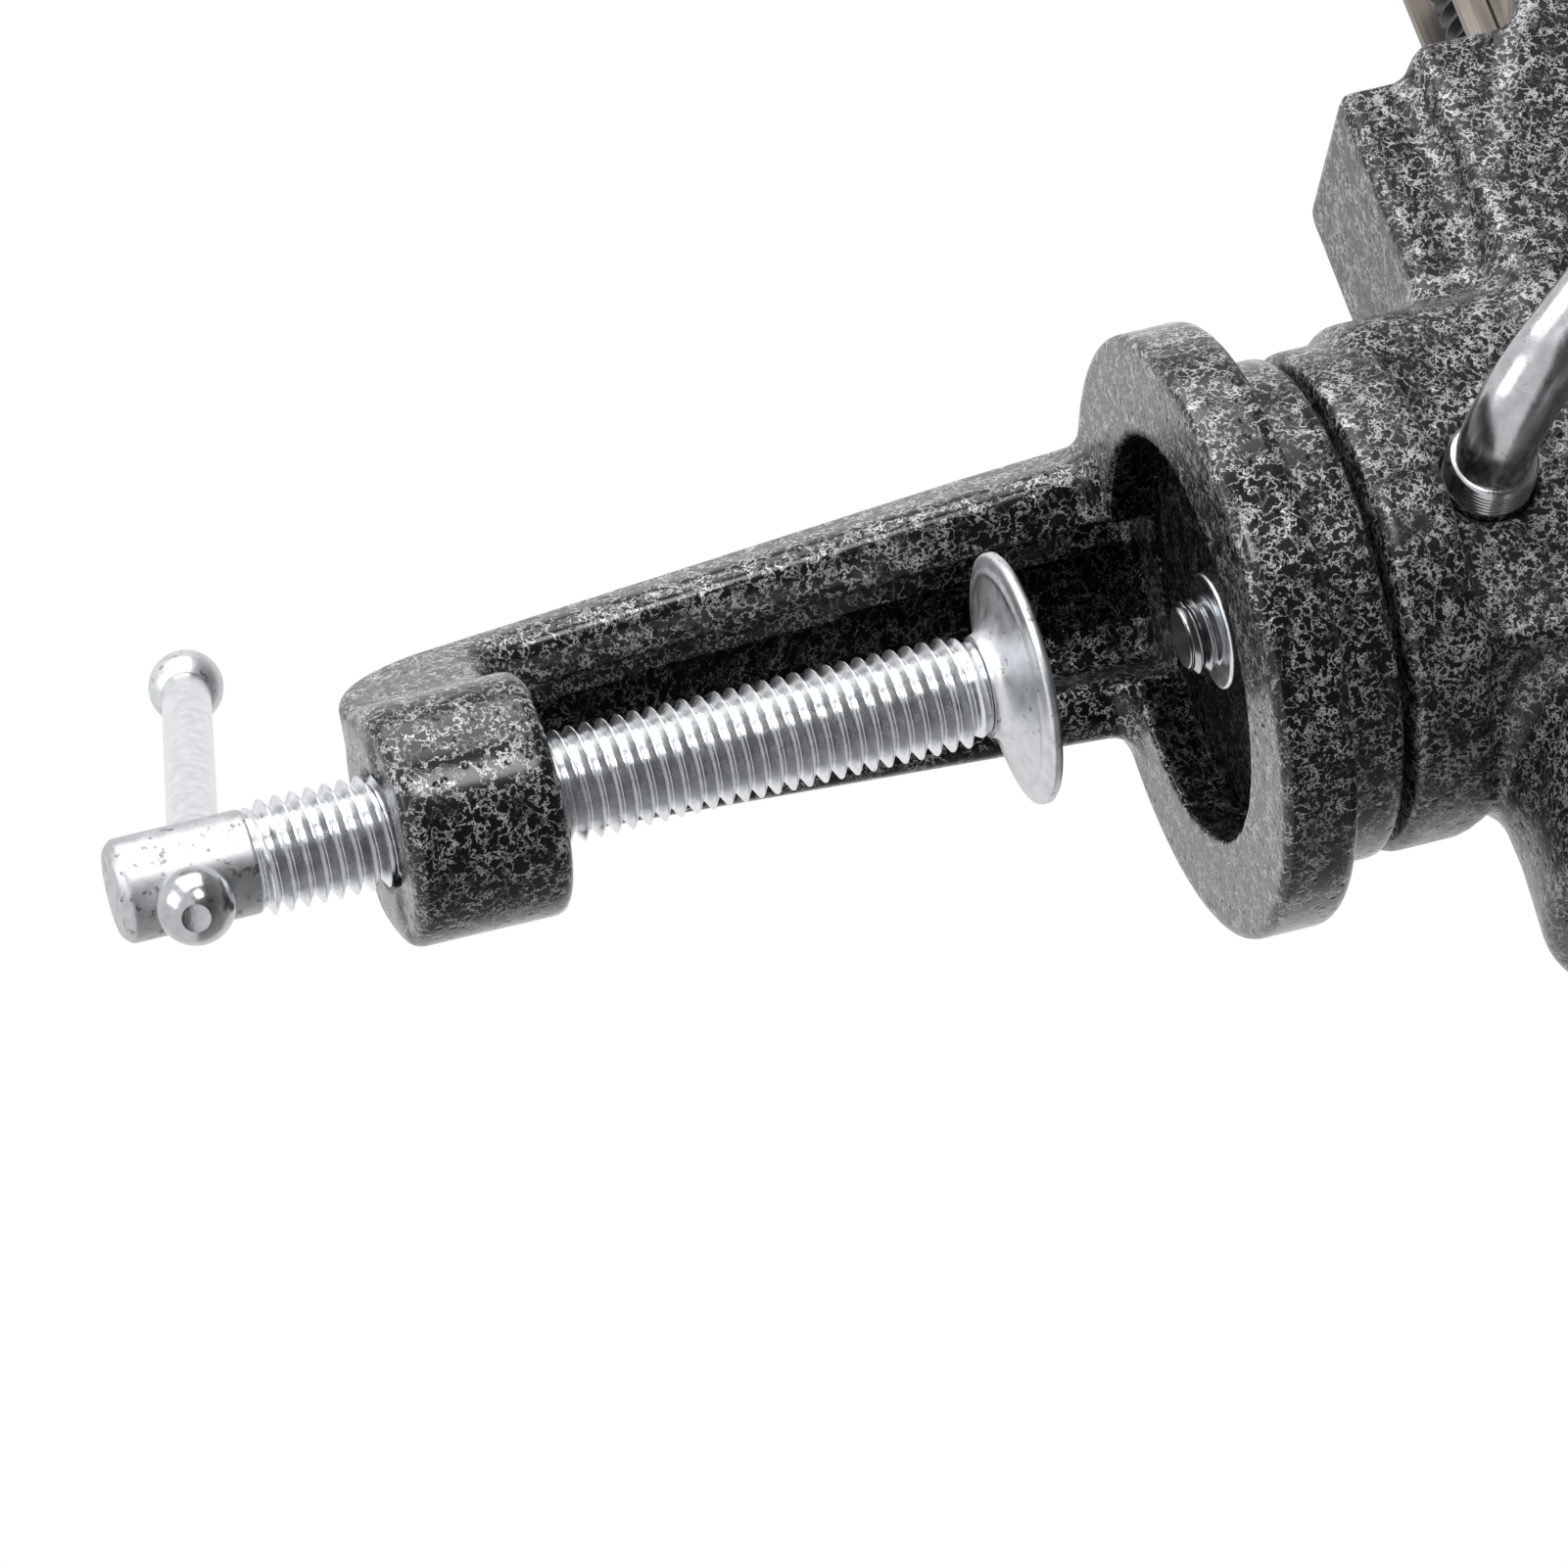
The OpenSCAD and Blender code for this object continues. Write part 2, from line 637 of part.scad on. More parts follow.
// Spindle: cross-drilled head, neck in the front jaw, thread as its crest cylinder
module spindle() {
  color([0.75, 0.76, 0.77])
    difference() {
      union() {
        rod_back(0, shead_y0, screw_z, spindle_head_len - 2, spindle_head_d / 2, spindle_head_d / 2);
        rod_back(0, shead_y1 + 2, screw_z, 2, spindle_head_d / 2, spindle_head_d / 2 - 2);
        rod_back(0, wall_y + 4, screw_z, wall_y + 4 - shead_y0, spindle_neck_d / 2, spindle_neck_d / 2);
        rod_back(0, spindle_end, screw_z, spindle_end - shead_y0, spindle_d / 2, spindle_d / 2);
      }
      translate([0, handle_y, screw_z])
        rotate([0, 90, 0])
          cylinder(h = 80, r = handle_d / 2 + run_fit, center = true);
    }
}

// Retaining ring behind the front jaw's wall, so that the spindle pulls the jaw back
module spindle_retainer() {
  color([0.3, 0.3, 0.3])
    difference() {
      rod_back(0, wall_y + 2.4, screw_z, 2, spindle_neck_d / 2 + 0.8, spindle_neck_d / 2 + 0.8);
      rod_back(0, wall_y + 4, screw_z, 6, spindle_neck_d / 2, spindle_neck_d / 2);
    }
}

// Handle bar, level and centred in the spindle head
module handle_bar() {
  color([0.75, 0.76, 0.77])
    translate([0, handle_y, screw_z])
      rotate([0, 90, 0])
        cylinder(h = handle_len + hknob_h, r = handle_d / 2, center = true);
}

// Turned knob on one end of the handle bar
module handle_knob(side) {
  color([0.75, 0.76, 0.77])
    translate([side * handle_len / 2, handle_y, screw_z])
      rotate([0, side * 90, 0])
        difference() {
          union() {
            cylinder(h = 2, r1 = handle_knob_d / 2 - 2, r2 = handle_knob_d / 2);
            translate([0, 0, 2])
              cylinder(h = hknob_h - 4, r = handle_knob_d / 2);
            translate([0, 0, hknob_h - 2])
              cylinder(h = 2, r1 = handle_knob_d / 2, r2 = handle_knob_d / 2 - 2);
          }
          translate([0, 0, -1])
            cylinder(h = hknob_h / 2 + 1, r = handle_d / 2);
        }
}

module handle_knob_left() {
  handle_knob(-1);
}

module handle_knob_right() {
  handle_knob(1);
}

clamp_frame();
clamp_pad();
clamp_screw();
clamp_bar();
clamp_knob_near();
clamp_knob_far();
vise_body();
pivot_bolt();
pivot_nut();
spindle_nut();
fixed_jaw_plate();
fixed_screw_left();
fixed_screw_right();
lock_lever();
lever_knob();
moving_jaw();
slide_bar();
moving_jaw_plate();
moving_screw_left();
moving_screw_right();
spindle();
spindle_retainer();
handle_bar();
handle_knob_left();
handle_knob_right();
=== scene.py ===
"""Clamp-on table vise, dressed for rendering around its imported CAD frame.

The swivel axis is Z and the head lies along Y, front jaw at -Y. Mesh code works in millimetres, in the
CAD frame, and turns to metres where points go into a mesh.
"""
import math

import bmesh
import bpy
import numpy as np
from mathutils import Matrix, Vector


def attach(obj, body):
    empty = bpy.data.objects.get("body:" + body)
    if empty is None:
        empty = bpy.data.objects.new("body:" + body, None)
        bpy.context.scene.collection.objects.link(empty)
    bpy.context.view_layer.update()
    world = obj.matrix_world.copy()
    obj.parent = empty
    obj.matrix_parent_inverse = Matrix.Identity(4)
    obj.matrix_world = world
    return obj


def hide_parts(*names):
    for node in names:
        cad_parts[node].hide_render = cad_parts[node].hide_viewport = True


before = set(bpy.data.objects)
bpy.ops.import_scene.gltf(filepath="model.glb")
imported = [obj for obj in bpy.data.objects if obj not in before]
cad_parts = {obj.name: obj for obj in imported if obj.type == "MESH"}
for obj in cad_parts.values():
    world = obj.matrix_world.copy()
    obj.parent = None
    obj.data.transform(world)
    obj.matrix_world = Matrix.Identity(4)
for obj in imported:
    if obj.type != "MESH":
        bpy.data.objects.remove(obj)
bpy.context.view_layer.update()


# Clamp frame. One grey iron casting: round flange, swivel ring and spigot, a channelled arm and the boss
# for the clamp screw. Sand cast, edges rounded by the mould, sprayed with black hammertone enamel; the
# spigot and the swivel face are machined bare after casting.
def soft_least(a, b, k):
    """Smaller of two distances with a fillet: min(a, b) - h * h / 4k, where h = max(k - |a - b|, 0)."""
    h = np.maximum(k - np.abs(a - b), 0.0)
    return np.minimum(a, b) - h * h / (4.0 * k)


def soft_most(a, b, k):
    """Larger of two distances with a rounded edge, the mirror of soft_least."""
    return -soft_least(-a, -b, k)


def cast_skin(name, field, low, high, step):
    """Skin of a casting, where field(x, y, z) = 0: field is the signed distance in mm, negative in metal.

    On a grid of the given step, each cell that the skin crosses gets one point, the mean of its edge
    crossings. Each crossed edge joins the four cells round it into one quad. The points then slide onto
    the skin: p - field * slope / |slope|^2, three times.
    """
    axes = [np.arange(a, b + step, step) for a, b in zip(low, high)]
    value = field(*np.meshgrid(*axes, indexing="ij", sparse=True)).astype(np.float32)
    shape = np.array(value.shape) - 1
    total = np.zeros((3, *shape), np.float32)
    count = np.zeros(shape, np.float32)
    crossings = []
    for axis in range(3):
        head = np.moveaxis(value, axis, 0)[:-1]
        tail = np.moveaxis(value, axis, 0)[1:]
        crossed = (head < 0) != (tail < 0)
        part = np.where(crossed, head / np.where(crossed, head - tail, 1.0), 0.0)
        place = np.indices(head.shape, dtype=np.float32)
        place[0] += part
        crossed_f = crossed.astype(np.float32)
        for j in (0, 1):
            for k in (0, 1):
                span = (slice(None), slice(j, head.shape[1] - 1 + j), slice(k, head.shape[2] - 1 + k))
                count += np.moveaxis(crossed_f[span], 0, axis)
                for own, other in enumerate([axis] + [a for a in range(3) if a != axis]):
                    total[other] += np.moveaxis((place[own] * crossed_f)[span], 0, axis)
        crossings.append((axis, crossed, head < 0))
    live = count > 0
    index = np.full(count.shape, -1, np.int64)
    index[live] = np.arange(live.sum())
    points = (total[:, live] / count[live]).T.astype(float) * step + np.array(low, float)
    quads = []
    for axis, crossed, metal_first in crossings:
        i, j, k = np.nonzero(crossed)
        inner = (j > 0) & (k > 0) & (j < crossed.shape[1] - 1) & (k < crossed.shape[2] - 1)
        i, j, k = i[inner], j[inner], k[inner]
        cells = np.moveaxis(index, axis, 0)
        quad = np.stack([cells[i, j - 1, k - 1], cells[i, j, k - 1], cells[i, j, k], cells[i, j - 1, k]], 1)
        turn = metal_first[i, j, k] == (axis != 1)
        quad[~turn] = quad[~turn][:, ::-1]
        quads.append(quad)
    quads = np.concatenate(quads)
    for _ in range(3):
        here = field(*points.T)
        nudges = np.eye(3) * 0.03
        slope = np.stack([field(*(points + e).T) - field(*(points - e).T) for e in nudges], 1) / 0.06
        move = here[:, None] * slope / np.maximum((slope * slope).sum(1, keepdims=True), 0.2)
        points -= np.clip(move, -0.4 * step, 0.4 * step)
    mesh = bpy.data.meshes.new(name)
    mesh.from_pydata(points * 0.001, [], quads)
    mesh.shade_smooth()
    mesh.update()
    return mesh


ARM_TURN = math.radians(41.0)
FLANGE_RADIUS, FLANGE_TOP = 32.6, 8.2
RING_RADIUS, RING_TOP = 27.0, 15.5
LAND_RADIUS, LAND_TOP = 22.0, 16.0
SPIGOT_RADIUS, SPIGOT_TOP = 11.0, 36.0
RECESS_RADIUS, RECESS_ROOF = 21.8, 5.4
ARM_INNER, ARM_TOP, ARM_FOOT = 22.0, 5.0, -86.4
ARM_HALF, ARM_WIDENS = 10.1, 5.7 / 90.5
LEAN_FROM, LEAN_RUN = -12.0, 61.4
ARM_LEAN, POCKET_LEAN = 4.4 / 61.4, 3.9 / 54.0
HEEL_RADIUS, HEEL_S, HEEL_Z = 13.0, 19.4, -73.4
FOOT_TOP, FOOT_END = -70.6, -2.0
BOSS_RADIUS, BOSS_MIDDLE, BOSS_HALF = 12.75, -78.5, 8.5
POCKET_FLOOR, POCKET_MOUTH = 29.9, 15.0
POCKET_TOP, POCKET_LOW, POCKET_END = 5.3, -64.8, -65.0
POCKET_HALF, POCKET_WIDENS = 5.3, 3.7 / 70.4
SCREW_BORE, BOLT_BORE = 6.06, 4.06


def arm_axes(x, y):
    """Distance along the arm, s = x cos a + y sin a, and from its middle plane, t = |y cos a - x sin a|."""
    s = x * math.cos(ARM_TURN) + y * math.sin(ARM_TURN)
    t = np.abs(y * math.cos(ARM_TURN) - x * math.sin(ARM_TURN))
    return s, t


def clamp_frame_field(x, y, z):
    """Flange, ring, land and spigot about Z; arm and foot along the arm's direction s; recess, pocket
    and bores cut from them. The last number of each soft_most or soft_least is its rounding in mm."""
    r = np.hypot(x, y)
    s, t = arm_axes(x, y)
    flange = soft_most(soft_most(r - FLANGE_RADIUS, -z, 1.3), z - FLANGE_TOP, 1.4)
    ring = soft_most(r - RING_RADIUS, np.maximum(z - RING_TOP, 2.0 - z), 1.6)
    half = ARM_HALF + (z - ARM_FOOT) * ARM_WIDENS
    heel_s = s - HEEL_S + np.clip(LEAN_FROM - z, 0.0, LEAN_RUN) * ARM_LEAN
    heel_z = HEEL_Z - z
    in_corner = (heel_s > 0) & (heel_z > 0)
    heel = np.where(in_corner, np.hypot(heel_s, heel_z), np.maximum(heel_s, heel_z)) - HEEL_RADIUS
    foot = np.maximum(z - FOOT_TOP, FOOT_END - s)
    arm = soft_least(soft_most(ARM_INNER - s, z - ARM_TOP, 1.0), foot, 7.0)
    arm = soft_most(soft_most(arm, t - half, 3.0), heel, 1.5)
    boss = soft_most(r - BOSS_RADIUS, np.abs(z - BOSS_MIDDLE) - BOSS_HALF, 1.8)
    pocket_half = POCKET_HALF + (z - POCKET_END) * POCKET_WIDENS
    pocket_floor = s - POCKET_FLOOR + np.maximum(LEAN_FROM - z, 0.0) * POCKET_LEAN
    pocket_ends = soft_most(z - POCKET_TOP, POCKET_LOW - z, 1.0)
    pocket = soft_most(soft_most(pocket_floor, t - pocket_half, 2.4), pocket_ends, 2.0)
    pocket = np.maximum(pocket, POCKET_MOUTH - s)
    recess = np.maximum(r - RECESS_RADIUS, np.maximum(z - RECESS_ROOF, -4.0 - z))
    land = np.maximum(r - LAND_RADIUS, np.maximum(z - LAND_TOP, 8.0 - z))
    spigot = np.maximum(r - SPIGOT_RADIUS, np.maximum(z - SPIGOT_TOP, 8.0 - z))
    body = soft_least(flange, ring, 0.4)
    body = soft_least(body, arm, 3.0)
    body = soft_least(body, boss, 3.0)
    body = soft_most(body, -pocket, 1.4)
    body = soft_most(body, -recess, 0.35)
    body = np.minimum(body, np.minimum(land, spigot))
    body = soft_most(body, -np.maximum(r - SCREW_BORE, z + 60.0), 0.7)
    return np.maximum(body, -np.maximum(r - BOLT_BORE, -10.0 - z))


def node_material(name):
    """New material with its nodes, its links, its shader and a node that gives object coordinates."""
    material = bpy.data.materials.new(name)
    material.use_nodes = True
    nodes = material.node_tree.nodes
    place = nodes.new("ShaderNodeTexCoord")
    return material, nodes, material.node_tree.links, nodes["Principled BSDF"], place


def hammertone(name, vein_scale, widest, silver, black, coat, gloss):
    """Black hammertone enamel: where a fractal noise lies within a narrow, drifting band of its middle value,
    silver strands run over the black; round dents and a clear coat lie over both. The band is at most widest,
    silver and black are the two greys, and coat and gloss are the clear coat's weight and roughness."""
    material, nodes, links, shader, place = node_material(name)
    vein = nodes.new("ShaderNodeTexNoise")
    vein.inputs["Scale"].default_value = vein_scale
    vein.inputs["Detail"].default_value = 6.0
    vein.inputs["Roughness"].default_value = 0.7
    vein.inputs["Distortion"].default_value = 0.2
    middle = nodes.new("ShaderNodeMath")
    middle.operation = "SUBTRACT"
    middle.inputs[1].default_value = 0.5
    ridge = nodes.new("ShaderNodeMath")
    ridge.operation = "ABSOLUTE"
    drift = nodes.new("ShaderNodeTexNoise")
    drift.inputs["Scale"].default_value = 480.0
    drift.inputs["Detail"].default_value = 2.0
    width = nodes.new("ShaderNodeMapRange")
    width.inputs["From Min"].default_value = 0.35
    width.inputs["From Max"].default_value = 0.68
    width.inputs["To Min"].default_value = 0.004
    width.inputs["To Max"].default_value = widest
    strand = nodes.new("ShaderNodeMath")
    strand.operation = "SUBTRACT"
    fleck = nodes.new("ShaderNodeMapRange")
    fleck.inputs["From Min"].default_value = -0.002
    fleck.inputs["From Max"].default_value = 0.005
    colour = nodes.new("ShaderNodeMixRGB")
    colour.inputs["Color1"].default_value = (black * 1.12, black * 0.96, black, 1.0)
    colour.inputs["Color2"].default_value = (silver, silver * 0.97, silver, 1.0)
    metal = nodes.new("ShaderNodeMath")
    metal.operation = "MULTIPLY"
    metal.inputs[1].default_value = 0.25
    dents = nodes.new("ShaderNodeTexVoronoi")
    dents.inputs["Scale"].default_value = 620.0
    hollow = nodes.new("ShaderNodeMapRange")
    hollow.inputs["From Max"].default_value = 0.3
    bump = nodes.new("ShaderNodeBump")
    bump.inputs["Strength"].default_value = 0.6
    bump.inputs["Distance"].default_value = 0.0002
    for node in (vein, drift, dents):
        links.new(place.outputs["Object"], node.inputs["Vector"])
    links.new(vein.outputs["Fac"], middle.inputs[0])
    links.new(middle.outputs[0], ridge.inputs[0])
    links.new(drift.outputs["Fac"], width.inputs["Value"])
    links.new(width.outputs["Result"], strand.inputs[0])
    links.new(ridge.outputs[0], strand.inputs[1])
    links.new(strand.outputs[0], fleck.inputs["Value"])
    links.new(fleck.outputs["Result"], colour.inputs["Fac"])
    links.new(colour.outputs["Color"], shader.inputs["Base Color"])
    links.new(fleck.outputs["Result"], metal.inputs[0])
    links.new(metal.outputs[0], shader.inputs["Metallic"])
    links.new(dents.outputs["Distance"], hollow.inputs["Value"])
    links.new(hollow.outputs["Result"], bump.inputs["Height"])
    links.new(bump.outputs["Normal"], shader.inputs["Normal"])
    links.new(bump.outputs["Normal"], shader.inputs["Coat Normal"])
    shader.inputs["Roughness"].default_value = 0.4
    shader.inputs["Specular IOR Level"].default_value = 0.13 * coat
    shader.inputs["Coat Weight"].default_value = coat
    shader.inputs["Coat Roughness"].default_value = gloss
    return material


def bare_iron(name, colour, scale):
    """Machined cast iron: noise stretched by scale into tool marks darkens and roughens a brown-grey."""
    material, nodes, links, shader, place = node_material(name)
    stretch = nodes.new("ShaderNodeMapping")
    stretch.inputs["Scale"].default_value = scale
    marks = nodes.new("ShaderNodeTexNoise")
    marks.inputs["Scale"].default_value = 1.0
    marks.inputs["Detail"].default_value = 5.0
    marks.inputs["Roughness"].default_value = 0.65
    tint = nodes.new("ShaderNodeValToRGB")
    tint.color_ramp.elements[0].position = 0.3
    tint.color_ramp.elements[0].color = tuple(c * 0.55 for c in colour) + (1.0,)
    tint.color_ramp.elements[1].position = 0.7
    tint.color_ramp.elements[1].color = tuple(colour) + (1.0,)
    rough = nodes.new("ShaderNodeMapRange")
    rough.inputs["To Min"].default_value = 0.28
    rough.inputs["To Max"].default_value = 0.55
    bump = nodes.new("ShaderNodeBump")
    bump.inputs["Strength"].default_value = 0.35
    bump.inputs["Distance"].default_value = 0.00008
    links.new(place.outputs["Object"], stretch.inputs["Vector"])
    links.new(stretch.outputs["Vector"], marks.inputs["Vector"])
    links.new(marks.outputs["Fac"], tint.inputs["Fac"])
    links.new(tint.outputs["Color"], shader.inputs["Base Color"])
    links.new(marks.outputs["Fac"], rough.inputs["Value"])
    links.new(rough.outputs["Result"], shader.inputs["Roughness"])
    links.new(marks.outputs["Fac"], bump.inputs["Height"])
    links.new(bump.outputs["Normal"], shader.inputs["Normal"])
    shader.inputs["Metallic"].default_value = 0.9
    return material


def place_piece(mesh, materials, body, node):
    """Puts a mesh into the scene at the origin, under the mesh's name, in place of a CAD node."""
    for material in materials:
        mesh.materials.append(material)
    piece = bpy.data.objects.new(mesh.name, mesh)
    bpy.context.scene.collection.objects.link(piece)
    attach(piece, body)
    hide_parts(node)


def finish_faces(mesh, chosen):
    """Gives each face the material whose number chosen returns for its centre (mm) and normal."""
    count = len(mesh.polygons)
    centre = np.empty(count * 3, np.float32)
    normal = np.empty(count * 3, np.float32)
    mesh.polygons.foreach_get("center", centre)
    mesh.polygons.foreach_get("normal", normal)
    picked = chosen(centre.reshape(-1, 3) * 1000.0, normal.reshape(-1, 3))
    mesh.polygons.foreach_set("material_index", picked.astype(np.int32))


enamel = hammertone("hammertone_enamel", 700.0, 0.026, 0.62, 0.0038, 0.75, 0.17)
# The second enamel is painted shade: few dim flecks and almost no coat, so that the recess and the pocket
# floor stay dark.
painted_shade_enamel = hammertone("hammertone_painted_shade", 700.0, 0.015, 0.21, 0.0038, 0.05, 0.17)
turned_iron = bare_iron("turned_iron", (0.36, 0.33, 0.30), (700.0, 700.0, 2500.0))
frame_mesh = cast_skin("clamp_casting", clamp_frame_field, (-34.5, -34.5, -89.0), (36.5, 37.0, 37.2), 0.65)


def frame_finish(p, n):
    """1 for the machined land and spigot, 2 for the recess and the middle of the pocket's floor, which take
    the darker enamel with few dim flecks and almost no coat as painted shade."""
    z = p[:, 2]
    r = np.hypot(p[:, 0], p[:, 1])
    s, t = arm_axes(p[:, 0], p[:, 1])
    machined = (z > 15.3) & (r < 22.2)
    recess = (r < 22.0) & (z > 0.2) & (z < 5.6)
    inward = n[:, 0] * math.cos(ARM_TURN) + n[:, 1] * math.sin(ARM_TURN) < -0.5
    strip = (t < 2.8 + (z - POCKET_END) * 0.022) & (s > 22.6) & (s < 30.2)
    pocket = inward & strip & (z > -66.0) & (z < 5.6)
    return np.where(machined, 1, np.where(recess | pocket, 2, 0))


finish_faces(frame_mesh, frame_finish)
place_piece(frame_mesh, [enamel, turned_iron, painted_shade_enamel], "clamp_base", "clamp_frame")


# Clamp screw. Rolled M12 thread on zinc-plated steel with a plain round head, cross-drilled for the tommy
# bar; the other end carries the pad on a turned pin.
def grid_mesh(name, grids, crease=35.0):
    """Mesh of one or more grids of points (rows, columns, xyz in mm): neighbours make quads, equal points
    merge, and edges sharper than crease degrees stay sharp."""
    points, quads, start = [], [], 0
    for grid in grids:
        rows, columns = grid.shape[:2]
        index = np.arange(rows * columns).reshape(rows, columns) + start
        corners = [index[:-1, :-1], index[:-1, 1:], index[1:, 1:], index[1:, :-1]]
        quads.append(np.stack(corners, -1).reshape(-1, 4))
        points.append(grid.reshape(-1, 3))
        start += rows * columns
    mesh = bpy.data.meshes.new(name)
    mesh.from_pydata(np.concatenate(points) * 0.001, [], np.concatenate(quads))
    work = bmesh.new()
    work.from_mesh(mesh)
    bmesh.ops.remove_doubles(work, verts=work.verts, dist=2e-6)
    bmesh.ops.dissolve_degenerate(work, edges=work.edges, dist=1e-6)
    bmesh.ops.recalc_face_normals(work, faces=work.faces)
    work.to_mesh(mesh)
    work.free()
    mesh.shade_smooth()
    mesh.set_sharp_from_angle(angle=math.radians(crease))
    mesh.update()
    return mesh


def rounded(corners, cuts, steps=5):
    """Profile through corners (radius, height): each corner is cut back by its length in cuts along both
    sides, and a parabola bridges the cut."""
    corners = np.asarray(corners, float)
    out = [corners[:1]]
    for before, here, after, cut in zip(corners[:-2], corners[1:-1], corners[2:], cuts):
        if cut <= 0:
            out.append(here[None])
            continue
        a = here + (before - here) / np.linalg.norm(before - here) * cut
        b = here + (after - here) / np.linalg.norm(after - here) * cut
        w = np.linspace(0.0, 1.0, steps)[:, None]
        out.append(a * (1 - w) ** 2 + 2 * here * w * (1 - w) + b * w**2)
    return np.concatenate(out + [corners[-1:]])


def lathe(profile, sides=64):
    """Profile of (radius, height) turned about Z: x = r cos a, y = r sin a."""
    angle = np.linspace(0.0, 2 * math.pi, sides + 1)
    r, h = profile[:, 0, None], profile[:, 1, None]
    return np.stack([r * np.cos(angle), r * np.sin(angle), h + 0 * angle], -1)


def thread(radius, depth, pitch, low, high, ends, sides=64):
    """Thread about Z: rows climb one pitch per turn, z = row + pitch * a / 2 pi, and the radius dips from
    the crest by depth times a V with a rounded root; the dip fills up over the run-out at both ends."""
    angle = np.linspace(0.0, 2 * math.pi, sides + 1)
    phase = np.array([0.0, 0.035, 0.13, 0.23, 0.33, 0.41, 0.46, 0.5, 0.54, 0.59, 0.67, 0.77, 0.87, 0.965])
    dip = np.array([0.0, 0.0, 0.24, 0.49, 0.74, 0.93, 0.99, 1.0, 0.99, 0.93, 0.74, 0.49, 0.24, 0.0])
    turns = int(math.ceil((high - low) / pitch)) + 2
    row = (np.arange(turns)[:, None] + phase[None, :]).ravel() * pitch + low - pitch
    z = np.clip(row[:, None] + pitch * angle / (2 * math.pi), low, high)
    fade = np.clip(np.minimum((z - low) / ends[0], (high - z) / ends[1]), 0.0, 1.0)
    r = radius - depth * (1.0 - (1.0 - np.tile(dip, turns))[:, None] * fade)
    return np.stack([r * np.cos(angle), r * np.sin(angle), z], -1)


def zinc(name, turned, smooth, dull, shade, scuffed):
    """Zinc plating: cloudy noise varies a cool grey, times shade, and the roughness from smooth to dull.
    Turning marks at the given scale leave a shallow bump, and where a finer noise rises above scuffed,
    the plating is rubbed to a darker grey."""
    material, nodes, links, shader, place = node_material(name)
    cloud = nodes.new("ShaderNodeTexNoise")
    cloud.inputs["Scale"].default_value = 650.0
    cloud.inputs["Detail"].default_value = 4.0
    stretch = nodes.new("ShaderNodeMapping")
    stretch.inputs["Scale"].default_value = turned
    marks = nodes.new("ShaderNodeTexNoise")
    marks.inputs["Scale"].default_value = 1.0
    marks.inputs["Detail"].default_value = 3.0
    tint = nodes.new("ShaderNodeValToRGB")
    tint.color_ramp.elements[0].position = 0.32
    tint.color_ramp.elements[0].color = (0.64 * shade, 0.66 * shade, 0.68 * shade, 1.0)
    tint.color_ramp.elements[1].position = 0.68
    tint.color_ramp.elements[1].color = (0.82 * shade, 0.84 * shade, 0.86 * shade, 1.0)
    scuff = nodes.new("ShaderNodeTexNoise")
    scuff.inputs["Scale"].default_value = 800.0
    scuff.inputs["Detail"].default_value = 6.0
    scuff.inputs["Roughness"].default_value = 0.7
    rubbed = nodes.new("ShaderNodeMapRange")
    rubbed.inputs["From Min"].default_value = scuffed
    rubbed.inputs["From Max"].default_value = scuffed + 0.04
    colour = nodes.new("ShaderNodeMixRGB")
    colour.inputs["Color2"].default_value = (0.30 * shade, 0.30 * shade, 0.30 * shade, 1.0)
    rough = nodes.new("ShaderNodeMapRange")
    rough.inputs["To Min"].default_value = smooth
    rough.inputs["To Max"].default_value = dull
    bump = nodes.new("ShaderNodeBump")
    bump.inputs["Strength"].default_value = 0.25
    bump.inputs["Distance"].default_value = 0.00006
    links.new(place.outputs["Object"], cloud.inputs["Vector"])
    links.new(place.outputs["Object"], scuff.inputs["Vector"])
    links.new(place.outputs["Object"], stretch.inputs["Vector"])
    links.new(stretch.outputs["Vector"], marks.inputs["Vector"])
    links.new(cloud.outputs["Fac"], tint.inputs["Fac"])
    links.new(scuff.outputs["Fac"], rubbed.inputs["Value"])
    links.new(rubbed.outputs["Result"], colour.inputs["Fac"])
    links.new(tint.outputs["Color"], colour.inputs["Color1"])
    links.new(colour.outputs["Color"], shader.inputs["Base Color"])
    links.new(cloud.outputs["Fac"], rough.inputs["Value"])
    links.new(rough.outputs["Result"], shader.inputs["Roughness"])
    links.new(marks.outputs["Fac"], bump.inputs["Height"])
    links.new(bump.outputs["Normal"], shader.inputs["Normal"])
    shader.inputs["Metallic"].default_value = 1.0
    return material


plating = zinc("zinc_plating", (1800.0, 1800.0, 1800.0), 0.16, 0.36, 1.0, 0.65)
# The head's plating is rougher and more rubbed than the thread's. Its grey, cut to 0.7, is painted shade that
# holds down the lamps' highlight on the head.
head_plating_painted_shade = zinc("head_plating_painted_shade", (2500.0, 2500.0, 2500.0), 0.36, 0.55, 0.7, 0.58)
SCREW_RADIUS, THREAD_DEPTH, THREAD_PITCH = 6.0, 1.15, 1.75
THREAD_LOW, THREAD_TOP = -101.3, -22.1
head_profile = rounded([(0.0, -115.8), (4.6, -115.8), (5.5, -114.9), (5.5, -101.4), (4.9, -100.6),
                        (0.0, -100.6)], [0.3, 0.4, 0.3, 0.0])
pin_profile = np.array([(0.0, -23.0), (3.2, -23.0), (3.2, -19.1), (4.6, -19.1), (4.6, -18.2), (4.0, -17.9),
                        (0.0, -17.9)])
core_profile = np.array([(0.0, -101.0), (4.6, -101.0), (4.6, -22.3), (0.0, -22.3)])
screw_thread = thread(SCREW_RADIUS, THREAD_DEPTH, THREAD_PITCH, THREAD_LOW, THREAD_TOP, (1.2, 2.4))
screw_parts = [lathe(head_profile), lathe(core_profile), lathe(pin_profile, 40), screw_thread]
screw_mesh = grid_mesh("clamp_screw_plated", screw_parts, 40.0)
